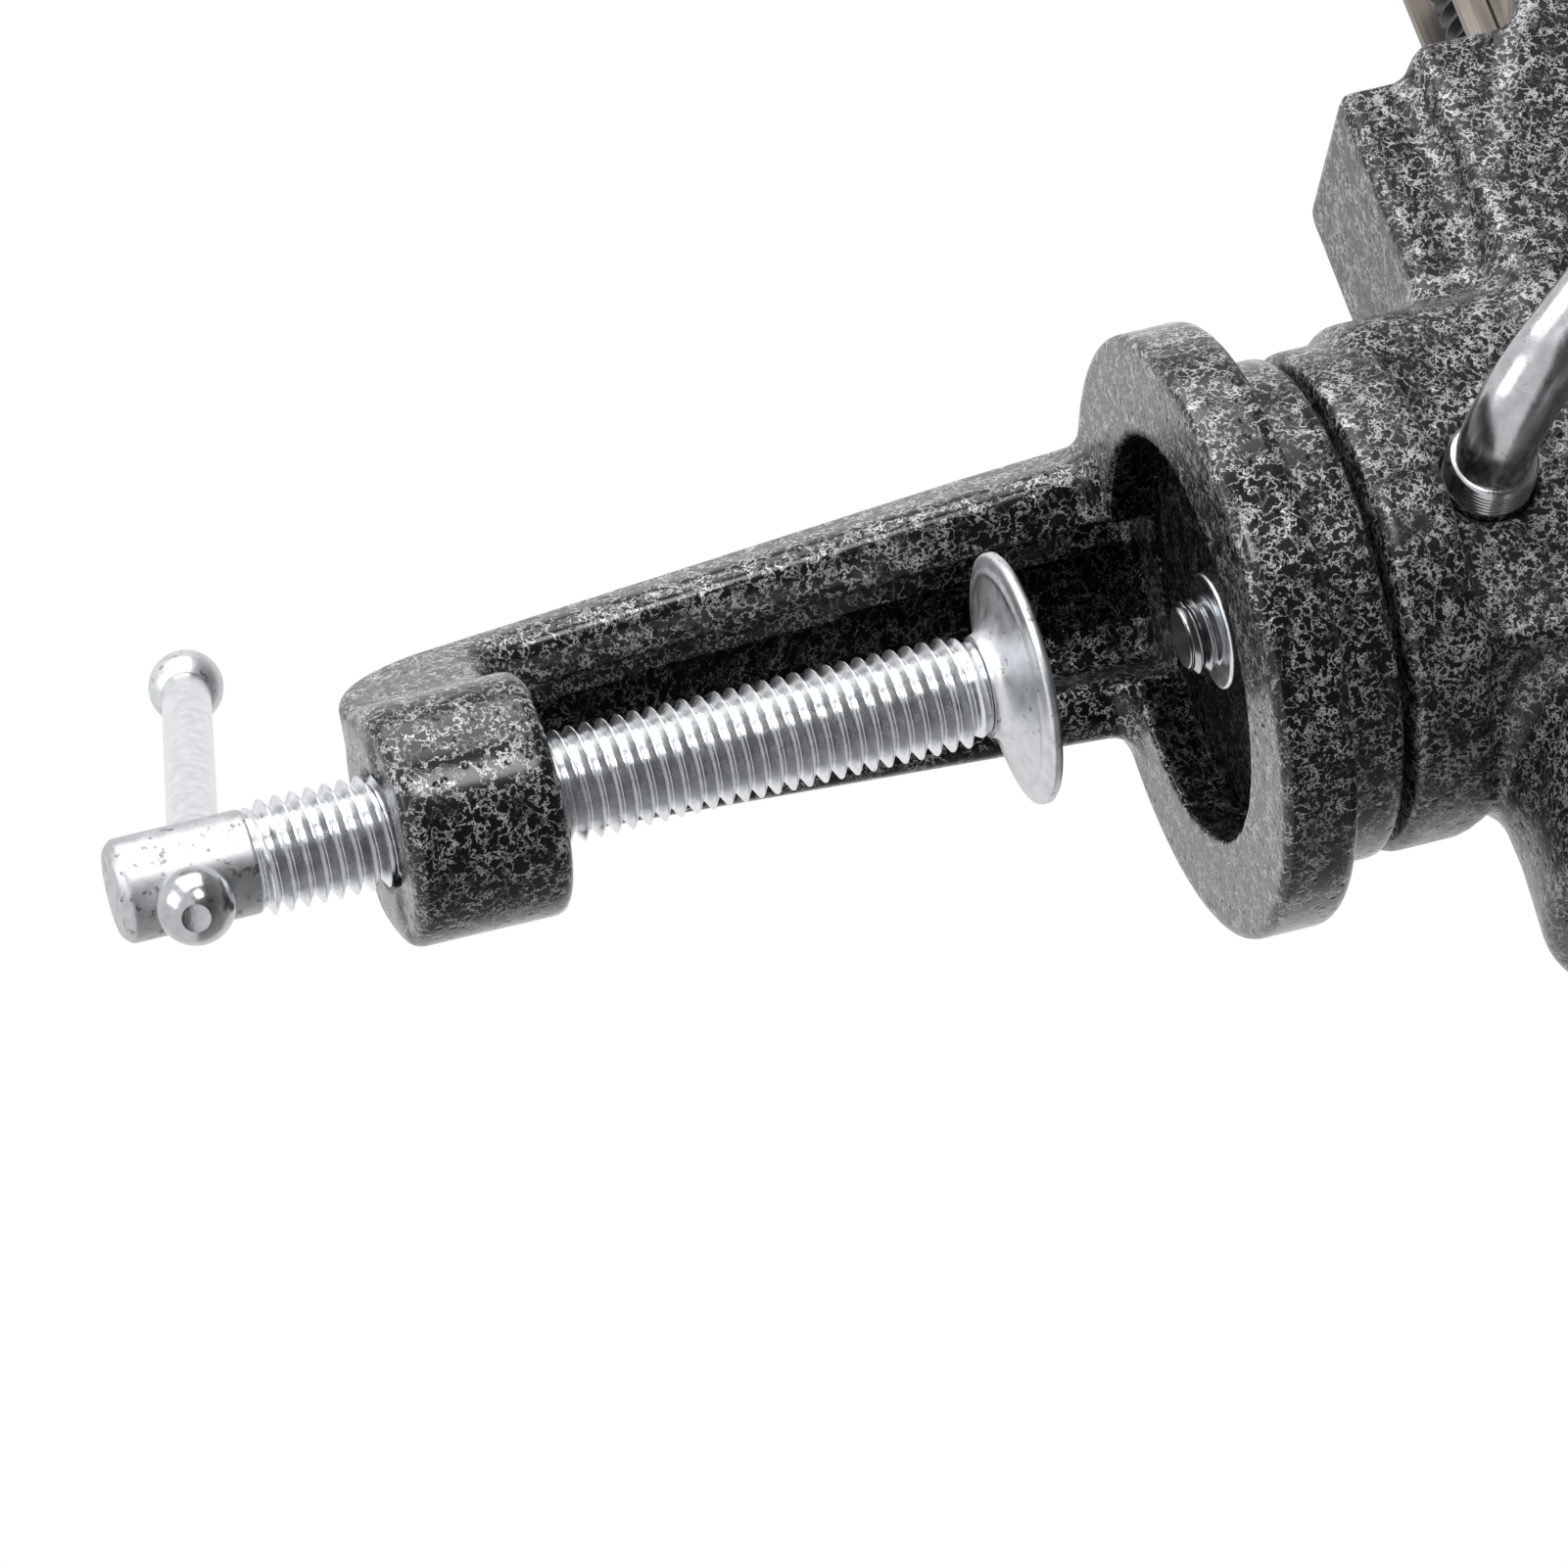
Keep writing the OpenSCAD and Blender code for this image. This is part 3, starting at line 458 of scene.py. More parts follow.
# The head takes the darker, rougher plating; its darker grey is painted shade.
finish_faces(screw_mesh, lambda p, n: p[:, 2] < THREAD_LOW)
place_piece(screw_mesh, [plating, head_plating_painted_shade], "clamp_screw", "clamp_screw")


# Swivel pad. A trumpet-shaped pressing of zinc-plated steel, peened loosely on the screw's pin, with a
# raised bead near its rolled rim and a shallow dish in its table face.
satin_plating = zinc("satin_plating", (2500.0, 2500.0, 2500.0), 0.3, 0.5, 0.88, 0.61)
PAD_LOW, PAD_NECK = -22.0, 5.5
BEAD_RADIUS, BEAD_WIDTH, BEAD_HEIGHT = 11.5, 0.3, 0.16
flare = np.linspace(0.0, 1.0, 48)
bell_radius = PAD_NECK + 0.5 * flare + 7.2 * flare**2.1
bead = BEAD_HEIGHT * np.exp(-(((bell_radius - BEAD_RADIUS) / BEAD_WIDTH) ** 2))
pad_bell = np.stack([bell_radius, PAD_LOW + 3.4 * flare**0.85 - bead], 1)
pad_face = np.array([(13.4, -18.5), (13.5, -18.3), (13.5, -17.7), (13.2, -17.42), (12.4, -17.4), (5.4, -17.6),
                     (5.4, -19.2), (3.26, -19.2), (3.26, PAD_LOW), (PAD_NECK, PAD_LOW)])
pad_mesh = grid_mesh("pad_plated", [lathe(np.concatenate([pad_bell, pad_face]), 96)], 50.0)
place_piece(pad_mesh, [satin_plating], "pad", "clamp_pad")


# Tommy bar of the clamp screw. A plated rod that slides in the screw's head, with a ball knob pressed on
# each end; the balls have a flat outer face and a small shoulder round the rod.
BAR_TURN, BAR_RISE = math.radians(46.0), math.radians(11.6)
BAR_HOLE, BAR_RADIUS = -107.12, 2.7
BALL_RADIUS, BALL_NECK = 4.1, 2.75
NEAR_BALL, FAR_BALL = -9.513, 60.487


def along_bar(grid):
    """Turns a lathed grid from Z to the bar's sloping direction d: (x, y, z) to z * d + x * n + y * (d x n),
    raised to the hole in the screw's head."""
    flat = math.cos(BAR_RISE)
    d = np.array([math.cos(BAR_TURN) * flat, math.sin(BAR_TURN) * flat, math.sin(BAR_RISE)])
    n = np.array([-math.sin(BAR_TURN), math.cos(BAR_TURN), 0.0])
    hole = np.array([0.0, 0.0, BAR_HOLE])
    return grid[..., 2:] * d + grid[..., :1] * n + grid[..., 1:2] * np.cross(d, n) + hole


def ball_knob(radius, flat, neck, centre, side):
    """Ball of the given radius about the height centre, cut flat at flat * radius on its outer side and
    ended by a shoulder round the rod on its inner side."""
    turn = np.linspace(math.acos(flat), math.pi - math.asin(neck / radius), 28)
    ball = np.stack([radius * np.sin(turn), radius * np.cos(turn)], 1)
    face = np.array([(0.0, radius * flat - 0.08), (ball[0, 0] - 0.35, radius * flat - 0.08)])
    profile = np.concatenate([face, ball, [(neck - 0.6, ball[-1, 1])]])
    return lathe(profile * np.array([1.0, side]) + np.array([0.0, centre]), 48)


# This plating is the zinc plating at 0.63 of its grey: painted shade for the tommy bar's near ball, the
# swivel bolt in the recess, the lock lever and its ball.
painted_shade_plating = zinc("painted_shade_plating", (300.0, 2500.0, 2500.0), 0.14, 0.3, 0.63, 0.64)
rod = np.array([(0.0, -9.5), (BAR_RADIUS, -9.5), (BAR_RADIUS, 60.4), (0.0, 60.4)])
near_ball = along_bar(ball_knob(BALL_RADIUS, 0.93, BALL_NECK, NEAR_BALL, -1.0))
far_ball = along_bar(ball_knob(BALL_RADIUS, 0.8, BALL_NECK, FAR_BALL, 1.0))
rod_mesh = grid_mesh("tommy_rod", [along_bar(lathe(rod, 48))])
place_piece(rod_mesh, [plating], "clamp_bar", "clamp_bar")
near_mesh = grid_mesh("tommy_ball_near", [near_ball])
far_mesh = grid_mesh("tommy_ball_far", [far_ball])
# The near ball takes the darker plating as painted shade; the far ball takes the satin plating.
place_piece(near_mesh, [painted_shade_plating], "clamp_bar", "clamp_knob_near")
place_piece(far_mesh, [satin_plating], "clamp_bar", "clamp_knob_far")


# Vise body. The second casting: round collar on the swivel ring, flat-sided neck, tunnel for the sliding
# bar, keel under it, small anvil behind and the fixed jaw. Tunnel and jaw seat are machined bare.
SPINDLE_Z = 58.0
COLLAR_LOW, COLLAR_TOP = 16.5, 25.0
THROAT_RADIUS, NECK_RADIUS = 24.5, 28.5
FRONT_HALF, REAR_HALF, KEEL_HALF = 20.0, 15.5, 12.4
DRUM_RADIUS, DRUM_WIDENS, DRUM_TOP = 29.5, 1.5 / 21.5, 75.0
DRUM_BACK, FIXED_FACE = -20.5, -42.0
BLOCK_LOW, BLOCK_TOP = 43.5, 71.0
FRONT_END, REAR_END, KEEL_END, ANVIL_END = 45.0, 55.2, 53.2, 65.2
KEEL_LOW, ANVIL_TOP = 34.6, 79.0
JAW_HALF, JAW_BACK, JAW_LOW, JAW_TOP = 31.5, -25.0, 67.0, 97.0
GUSSET_HALF = 9.0
TUNNEL_Z, TUNNEL_HALF, TUNNEL_RISE = 59.8, 9.12, 7.32
PLATE_BACK, PLATE_LOW = -37.5, 77.0
STUD_Z, STUD_BORE = 31.5, 5.25
SPIGOT_BORE, SPIGOT_ROOF, BOLT_HEAD_BORE = 11.06, 36.4, 7.6


def vise_body_field(x, y, z):
    """Collar, neck and throat about Z and the round front about the spindle, joined with fillets to the
    tunnel block, keel, anvil, jaw and gusset; tunnel, jaw seat, stud hole and swivel bores are cut out."""
    r = np.hypot(x, y)
    side = np.abs(x)
    collar = soft_most(r - RING_RADIUS, np.maximum(z - COLLAR_TOP, COLLAR_LOW - z), 1.4)
    throat = soft_most(r - THROAT_RADIUS, side - FRONT_HALF, 2.5)
    throat = np.maximum(throat, np.maximum(np.abs(z - 34.0) - 10.0, y))
    drum = np.hypot(x, z - SPINDLE_Z) - DRUM_RADIUS + (y - DRUM_BACK) * DRUM_WIDENS
    drum = soft_most(drum, z - DRUM_TOP, 2.5)
    drum = soft_most(drum, np.maximum(y - DRUM_BACK, FIXED_FACE - y), 3.0)
    round_front = soft_least(soft_least(collar, throat, 2.0), drum, 6.0)
    neck = soft_most(r - NECK_RADIUS, side - FRONT_HALF, 2.5)
    neck = soft_most(soft_most(neck, -19.2 - y, 1.5), np.abs(z - 35.0) - 12.0, 1.5)
    slant = (side - FRONT_HALF) * 0.9797 + (y - 10.0) * 0.2004
    front = soft_most(side - FRONT_HALF, slant, 6.0)
    front = soft_most(front, np.maximum(-21.5 - y, y - FRONT_END), 1.8)
    rear = soft_most(side - REAR_HALF, np.maximum(y - REAR_END, -10.0 - y), 1.8)
    block = soft_most(soft_least(front, rear, 6.0), np.maximum(z - BLOCK_TOP, BLOCK_LOW - z), 1.8)
    keel = soft_most(side - KEEL_HALF, np.maximum(y - KEEL_END, -y), 1.6)
    keel = soft_most(keel, np.maximum(KEEL_LOW - z, z - 48.0), 1.6)
    under = 55.0 + (y - REAR_END) * 0.45 - z
    ahead = 21.2 + (z - 70.0) * 0.667 - y
    anvil = soft_most(np.maximum(z - ANVIL_TOP, under), np.maximum(y - ANVIL_END, ahead), 1.6)
    anvil = soft_most(anvil, side - REAR_HALF, 1.6)
    jaw = soft_most(np.maximum(FIXED_FACE - y, y - JAW_BACK), np.maximum(JAW_LOW - z, z - JAW_TOP), 1.0)
    jaw = soft_most(soft_most(jaw, (y + 27.5) * 0.768 + (z - 94.0) * 0.64, 1.5), side - JAW_HALF, 1.4)
    gusset = np.maximum((y + 26.0) * 0.548 + (z - 89.0) * 0.8365, np.maximum(-26.0 - y, 68.0 - z))
    gusset = soft_most(gusset, side - GUSSET_HALF, 2.0)
    body = soft_least(soft_least(neck, block, 3.5), keel, 3.0)
    body = soft_least(body, anvil, 2.0)
    body = soft_least(body, round_front, 1.8)
    body = np.maximum(soft_least(body, soft_least(jaw, gusset, 4.0), 3.0), FIXED_FACE - y)
    body = np.minimum(body, np.maximum(r - LAND_RADIUS, np.abs(z - 20.0) - 4.0))
    tunnel = np.maximum(side - TUNNEL_HALF, np.abs(z - TUNNEL_Z) - TUNNEL_RISE)
    body = soft_most(body, -tunnel, 0.5)
    body = np.maximum(body, -np.maximum(y - PLATE_BACK, PLATE_LOW - z))
    body = soft_most(body, -np.maximum(np.hypot(y, z - STUD_Z) - STUD_BORE, x), 0.8)
    body = np.maximum(body, -np.maximum(r - SPIGOT_BORE, z - SPIGOT_ROOF))
    return np.maximum(body, -np.maximum(r - BOLT_HEAD_BORE, np.abs(z - 44.0) - 7.0))


def body_finish(p, n):
    """1 for the milled tunnel, the jaw plate's seat and the bore over the spigot, 0 for the enamel."""
    x, y, z = p.T
    tunnel = (np.abs(x) < 9.3) & (np.abs(z - TUNNEL_Z) < 7.5) & (y > -41.8) & (y < 64.9)
    seat = (z > 76.8) & (y < -37.3)
    bore = (np.hypot(x, y) < 11.2) & (z < 36.6)
    return (tunnel & (np.abs(n[:, 1]) < 0.6)) | seat | bore


body_enamel = hammertone("hammertone_body", 850.0, 0.036, 0.5, 0.005, 0.65, 0.27)
milled_iron = bare_iron("milled_iron", (0.34, 0.31, 0.28), (900.0, 60.0, 900.0))
body_mesh = cast_skin("vise_casting", vise_body_field, (-32.4, -43.2, 15.2), (32.4, 66.4, 97.9), 0.75)
finish_faces(body_mesh, body_finish)
place_piece(body_mesh, [body_enamel, milled_iron], "head", "vise_body")


# Swivel bolt and its round nut. The plated M8 bolt drops in from the tunnel and runs down through the
# spigot; the thin round nut closes on it in the recess under the flange, with its last threads showing.
bolt_end = np.array([(0.0, 0.3), (3.1, 0.3), (3.35, 0.55), (3.35, 6.0), (0.0, 6.0)])
bolt_shank = np.array([(0.0, 5.9), (3.95, 5.9), (3.95, 38.5), (6.1, 38.5), (6.4, 38.8), (6.4, 43.0),
                       (6.0, 43.4), (0.0, 43.4)])
bolt_thread = thread(4.0, 0.7, 1.25, 0.35, 7.0, (0.5, 0.5), 48)
bolt_mesh = grid_mesh("swivel_bolt", [lathe(bolt_end, 48), lathe(bolt_shank, 48), bolt_thread], 40.0)
# The bolt takes the darker plating as painted shade in the recess.
place_piece(bolt_mesh, [painted_shade_plating], "head", "pivot_bolt")
nut_ring = rounded([(3.4, 3.6), (6.35, 3.6), (6.35, 5.2), (3.4, 5.2), (3.4, 3.6)], [0.45, 0.3, 0.0])
nut_mesh = grid_mesh("swivel_nut", [lathe(nut_ring, 64)])
place_piece(nut_mesh, [plating], "head", "pivot_nut")


# Spindle nut. A plain iron block let into the tunnel floor, inside the hollow bar; only its shape in the
# CAD matters, so it keeps that and takes the milled finish.
spindle_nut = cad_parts["spindle_nut"]
spindle_nut.data.materials.clear()
spindle_nut.data.materials.append(milled_iron)


# Jaw plates. Two hardened steel plates let into the jaws, their working faces cut with crossed grooves,
# each held by two countersunk screws.
MOVING_FACE, MOVING_BACK = -46.5, -51.0
GROOVE_PITCH, GROOVE_DEPTH = 2.4, 0.38
PLATE_SCREW_X, PLATE_SCREW_Z = 18.0, 87.0
SINK_RADIUS, SINK_DEPTH = 5.05, 2.5


def jaw_plate_grids(face, back):
    """Plate between the planes y = face and y = back. Height of the working face below its plane: the deeper
    of two crossed rows of V grooves, faded out near the rim, and the 45 degree countersinks."""
    across = np.linspace(-JAW_HALF, JAW_HALF, 253)
    up = np.linspace(PLATE_LOW, JAW_TOP, 81)
    x, z = np.meshgrid(across, up, indexing="ij")
    wave_a = np.abs(((x + z) / GROOVE_PITCH) % 1.0 - 0.5) * 2.0
    wave_b = np.abs(((x - z) / GROOVE_PITCH) % 1.0 - 0.5) * 2.0
    groove = GROOVE_DEPTH * np.maximum(np.clip(wave_a * 2.6 - 1.6, 0, 1), np.clip(wave_b * 2.6 - 1.6, 0, 1))
    rim = np.minimum(JAW_HALF - np.abs(x), np.minimum(z - PLATE_LOW, JAW_TOP - z))
    groove = groove * np.clip((rim - 1.0) / 0.6, 0, 1) + 0.35 * np.clip(1.0 - rim / 0.4, 0, 1)
    hole = np.hypot(np.abs(x) - PLATE_SCREW_X, z - PLATE_SCREW_Z)
    sink = np.clip(SINK_RADIUS - hole, 0.0, SINK_DEPTH)
    into = 1.0 if back > face else -1.0
    front = np.stack([x, face + into * np.maximum(groove, sink), z], -1)
    rear = np.stack([x, back + 0 * x, z], -1)
    edges = (np.s_[0], np.s_[-1], np.s_[:, 0], np.s_[:, -1])
    return [front, rear] + [np.stack([front[edge], rear[edge]]) for edge in edges]


def jaw_steel(name, dark, light):
    """Blued hardened steel: cloudy noise between two dark greys, rougher where it is darker."""
    material, nodes, links, shader, place = node_material(name)
    cloud = nodes.new("ShaderNodeTexNoise")
    cloud.inputs["Scale"].default_value = 420.0
    cloud.inputs["Detail"].default_value = 5.0
    tint = nodes.new("ShaderNodeValToRGB")
    tint.color_ramp.elements[0].position = 0.3
    tint.color_ramp.elements[0].color = (dark, dark, dark * 1.04, 1.0)
    tint.color_ramp.elements[1].position = 0.7
    tint.color_ramp.elements[1].color = (light, light, light * 1.03, 1.0)
    rough = nodes.new("ShaderNodeMapRange")
    rough.inputs["To Min"].default_value = 0.45
    rough.inputs["To Max"].default_value = 0.25
    links.new(place.outputs["Object"], cloud.inputs["Vector"])
    links.new(cloud.outputs["Fac"], tint.inputs["Fac"])
    links.new(tint.outputs["Color"], shader.inputs["Base Color"])
    links.new(cloud.outputs["Fac"], rough.inputs["Value"])
    links.new(rough.outputs["Result"], shader.inputs["Roughness"])
    shader.inputs["Metallic"].default_value = 1.0
    return material


hard_steel = jaw_steel("jaw_steel", 0.22, 0.42)
fixed_mesh = grid_mesh("fixed_plate", jaw_plate_grids(FIXED_FACE, PLATE_BACK), 25.0)
moving_mesh = grid_mesh("moving_plate", jaw_plate_grids(MOVING_FACE, MOVING_BACK), 25.0)
place_piece(fixed_mesh, [hard_steel], "head", "fixed_jaw_plate")
place_piece(moving_mesh, [hard_steel], "front_jaw", "moving_jaw_plate")


# Jaw plate screws. Plated countersunk screws with a plain slot, sunk just below the grooved face; two hold
# each plate, and their shanks run on into the jaw.
HEAD_RADIUS, HEAD_DEPTH = 4.95, 2.6
SHANK_RADIUS, SHANK_DEPTH = 2.5, 8.3
SLOT_HALF, SLOT_DEPTH = 0.6, 1.3


def plate_screw_field(centre, face, into):
    """Cone of 45 degrees under a flat head, a shank behind it, and a slot across the head."""
    def field(x, y, z):
        deep = (y - face) * into
        r = np.hypot(x - centre, z - PLATE_SCREW_Z)
        head = np.maximum((r - HEAD_RADIUS + deep) * 0.7071, deep - HEAD_DEPTH)
        head = soft_most(head, 0.2 - deep, 0.25)
        shank = np.maximum(r - SHANK_RADIUS, np.maximum(deep - SHANK_DEPTH, 1.0 - deep))
        across = np.abs((x - centre) * 0.94 + (z - PLATE_SCREW_Z) * 0.34)
        slot = np.maximum(across - SLOT_HALF, deep - SLOT_DEPTH)
        return soft_most(np.minimum(head, shank), -slot, 0.2)
    return field


plates = (("fixed", "head", FIXED_FACE, 1.0), ("moving", "front_jaw", MOVING_FACE, -1.0))
for place, body, face, into in plates:
    near, far = sorted((face - into * 0.6, face + into * 9.0))
    for hand, centre in (("left", -PLATE_SCREW_X), ("right", PLATE_SCREW_X)):
        screw_mesh = cast_skin(f"{place}_plate_screw_{hand}", plate_screw_field(centre, face, into),
                               (centre - 5.6, near, 81.4), (centre + 5.6, far, 92.6), 0.22)
        place_piece(screw_mesh, [plating], body, f"{place}_screw_{hand}")


# Lock lever. A plated round rod whose stud screws into the neck and presses on the spigot; it bends out
# of the stud and rises to a ball knob. Fine turned rings show where the stud's thread runs out.
LEVER_LIFT, LEVER_BEND = math.radians(57.0), math.radians(65.0)
LEVER_RADIUS, BEND_RADIUS, LEVER_RUN = 4.1, 13.0, 64.0
KNOB_RADIUS, KNOB_MOUTH = 6.5, 4.3


def carried(path, radius, sides=48):
    """Round section carried along a path that lies in one plane: centre + r (cos a * n + sin a * b), n being
    the path's normal in the plane and b the plane's normal; radius may differ along the path."""
    step = np.gradient(path, axis=0)
    tangent = step / np.linalg.norm(step, axis=1, keepdims=True)
    b = np.array([0.0, -math.sin(LEVER_LIFT), math.cos(LEVER_LIFT)])
    n = np.cross(b, tangent)
    angle = np.linspace(0.0, 2 * math.pi, sides + 1)
    ring = np.cos(angle)[None, :, None] * n[:, None] + np.sin(angle)[None, :, None] * b
    return path[:, None] + radius[:, None, None] * ring


rise = np.array([0.0, math.cos(LEVER_LIFT), math.sin(LEVER_LIFT)])
out = np.array([-1.0, 0.0, 0.0])
stud_foot = np.array([-24.5, 0.0, STUD_Z])
bend = LEVER_BEND * np.linspace(0.0, 1.0, 26)[:, None]
bend_path = stud_foot + out * (1.0 + BEND_RADIUS * np.sin(bend)) + rise * (BEND_RADIUS * (1.0 - np.cos(bend)))
lead = math.cos(LEVER_BEND) * out + math.sin(LEVER_BEND) * rise
straight_path = bend_path[-1] + lead * np.linspace(1.0, LEVER_RUN, 24)[:, None]
lever_path = np.concatenate([[stud_foot + [0.3, 0, 0], stud_foot], bend_path, straight_path])
lever_grid = carried(lever_path, np.full(len(lever_path), LEVER_RADIUS))
rings = np.linspace(0.0, 3.6, 37)
ring_radius = 4.72 + 0.2 * np.abs(np.sin(rings * math.pi / 0.6))
stud_depth = np.concatenate([[0.0, 0.0, 0.25], 0.5 + rings, [4.4, 13.0, 13.0]])
stud_radius = np.concatenate([[0.0, 4.3, 4.62], ring_radius, [4.9, 4.9, 0.0]])
stud_grid = stud_foot + lathe(np.stack([stud_radius, stud_depth], 1), 56)[..., [2, 0, 1]]
lever_mesh = grid_mesh("lever_rod", [lever_grid, stud_grid], 40.0)
# The lever and its ball take the darker plating as painted shade.
place_piece(lever_mesh, [painted_shade_plating], "lever", "lock_lever")
turn = np.linspace(0.0, math.pi - math.asin(KNOB_MOUTH / KNOB_RADIUS), 30)
knob_path = straight_path[-1] + lead * (KNOB_RADIUS * np.cos(turn))[:, None]
knob_path = np.concatenate([knob_path, [knob_path[-1] + lead * -0.01]])
knob_grid = carried(knob_path, np.append(KNOB_RADIUS * np.sin(turn), 4.0))
place_piece(grid_mesh("lever_ball", [knob_grid]), [painted_shade_plating], "lever", "lever_knob")


# Front jaw. The third casting: a tapered round barrel that takes the sliding bar and the spindle, with
# the jaw block and a gusset on top. Its jaw seat and the bar's socket are machined bare.
JAW_OUT = 22.5
BARREL_RADIUS, BARREL_TAPER = 30.0, 8.0 / 34.0
BARREL_BACK, BARREL_FRONT = -24.0, -58.0
NOSE_RADIUS, NOSE_FRONT = 15.0, -64.0
BLOCK_FRONT, BLOCK_FOOT = -41.0, 61.0
SOCKET_HALF, SOCKET_RISE, SOCKET_END = 9.0, 7.2, -50.0
RETAINER_ROOM, SPINDLE_BORE = 7.4, 6.06


def front_jaw_field(x, y, z):
    """Cone about the spindle axis from radius 30 to 22, flat above, a nose boss in front, the jaw block with
    sloped corners and a gusset; bar socket, spindle bore and jaw seat are cut out. It is written with the
    rear face at BARREL_BACK and moved out by JAW_OUT."""
    y = y + JAW_OUT
    side = np.abs(x)
    q = np.hypot(x, z - SPINDLE_Z)
    cone = (q - BARREL_RADIUS + (BARREL_BACK - y) * BARREL_TAPER) * 0.973
    barrel = soft_most(soft_most(cone, z - DRUM_TOP, 2.5), np.maximum(y - BARREL_BACK, BARREL_FRONT - y), 2.2)
    nose = soft_most(q - NOSE_RADIUS - (y - BARREL_FRONT) / 6.0, np.maximum(NOSE_FRONT - y, y + 50.0), 1.2)
    jaw = np.maximum(np.maximum(y - BARREL_BACK, BLOCK_FRONT - y), np.maximum(BLOCK_FOOT - z, z - JAW_TOP))
    jaw = soft_most(jaw, (-38.5 - y) * 0.768 + (z - 94.0) * 0.64, 1.2)
    jaw = soft_most(jaw, (-38.5 - y) * 0.768 + (64.0 - z) * 0.64, 1.2)
    jaw = soft_most(jaw, side - JAW_HALF, 1.4)
    gusset = np.maximum((-40.0 - y) * 0.748 + (z - 89.0) * 0.663, np.maximum(y + 38.0, 72.0 - z))
    gusset = soft_most(gusset, side - GUSSET_HALF, 2.0)
    body = soft_least(barrel, nose, 2.5)
    body = soft_least(body, soft_least(jaw, gusset, 3.0), 3.5)
    body = np.maximum(body, y - BARREL_BACK)
    bar_room = np.maximum(side - SOCKET_HALF, np.abs(z - TUNNEL_Z) - SOCKET_RISE)
    ring_room = np.maximum(q - RETAINER_ROOM, y + 46.0)
    socket = np.maximum(np.minimum(bar_room, ring_room), np.maximum(y - 2.0, SOCKET_END - y))
    body = np.maximum(body, -socket)
    body = soft_most(body, -np.maximum(q - SPINDLE_BORE, y + 45.0), 0.8)
    return np.maximum(body, -np.maximum(MOVING_BACK + JAW_OUT - y, PLATE_LOW - z))


def jaw_finish(p, n):
    """1 for the milled plate seat and the bar's socket, 0 for the enamel."""
    x, y, z = p.T
    seat = (z > 76.8) & (y > -51.3)
    socket = (np.abs(x) < 9.2) & (np.abs(z - TUNNEL_Z) < 7.4) & (y > -73.0)
    return seat | socket


jaw_mesh = cast_skin("front_jaw_casting", front_jaw_field, (-32.4, -87.6, 26.6), (32.4, -45.6, 97.9), 0.7)
finish_faces(jaw_mesh, jaw_finish)
place_piece(jaw_mesh, [body_enamel, milled_iron], "front_jaw", "moving_jaw")


# Sliding bar. A hollow bar of bare milled iron, open below, fixed in the front jaw and running through
# the body's tunnel; its rear end shows behind the body.
SLIDE_HALF, SLIDE_TOP, SLIDE_CORNER = 9.0, 67.0, 0.6
HOLLOW_HALF, HOLLOW_TOP, HOLLOW_CORNER = 6.6, 64.0, 1.2
SLIDE_MIDDLE = 60.0


def slide_section(half, top, legs, corner):
    """Path of the U section seen along Y: up the left leg, over the top, down the right leg, with rounded
    upper corners. The legs' rows are inset from the half width and height; outer and inner paths pair up."""
    arc = np.linspace(0.0, math.pi / 2, 5)
    leg = np.stack([legs[:, 0] - half, legs[:, 1]], 1)
    shoulder = np.stack([-half + corner - corner * np.cos(arc), top - corner + corner * np.sin(arc)], 1)
    left = np.concatenate([leg, shoulder])
    middle = np.array([[-half / 2, top], [0.0, top], [half / 2, top]])
    return np.concatenate([left, middle, left[::-1] * [-1, 1]])


slide_ends = np.array([-68.5, -68.25, 77.6, 78.0])
end_inset = np.array([0.25, 0.0, 0.0, 0.35])


def slide_wall(section, sign):
    """Section carried along Y, drawn in by the small chamfer at both ends."""
    shrink = section[None] - sign * end_inset[:, None, None] * np.sign(section - [0.0, SLIDE_MIDDLE])[None]
    return np.stack([shrink[..., 0], np.repeat(slide_ends[:, None], len(section), 1), shrink[..., 1]], -1)


outer_legs = np.array([(1.0, 52.6), (0.0, 53.5), (0.0, 55.3), (0.5, 55.5), (0.0, 55.7)])
inner_legs = outer_legs * [0.0, 1.0]
outer = slide_wall(slide_section(SLIDE_HALF, SLIDE_TOP, outer_legs, SLIDE_CORNER), 1.0)
inner = slide_wall(slide_section(HOLLOW_HALF, HOLLOW_TOP, inner_legs, HOLLOW_CORNER), 0.0)
caps = [np.stack([outer[edge], inner[edge]]) for edge in (np.s_[0], np.s_[-1], np.s_[:, 0], np.s_[:, -1])]
slide_iron = bare_iron("slide_iron", (0.30, 0.27, 0.24), (1500.0, 90.0, 1500.0))
slide_mesh = grid_mesh("sliding_bar", [outer, inner] + caps)
place_piece(slide_mesh, [slide_iron], "front_jaw", "slide_bar")


# Spindle. Plated screw with a turned head, cross-drilled for the handle, a neck in the front jaw and a
# coarse rolled thread in the spindle nut; the spring ring behind the jaw's wall holds it in.
SPINDLE_NECK, SPINDLE_END = -68.1, 73.9


def along_slide(grid):
    """Turns a lathed grid from Z to the spindle's axis: (x, y, z) to (x, z, SPINDLE_Z - y)."""
    return np.stack([grid[..., 0], grid[..., 2], SPINDLE_Z - grid[..., 1]], -1)


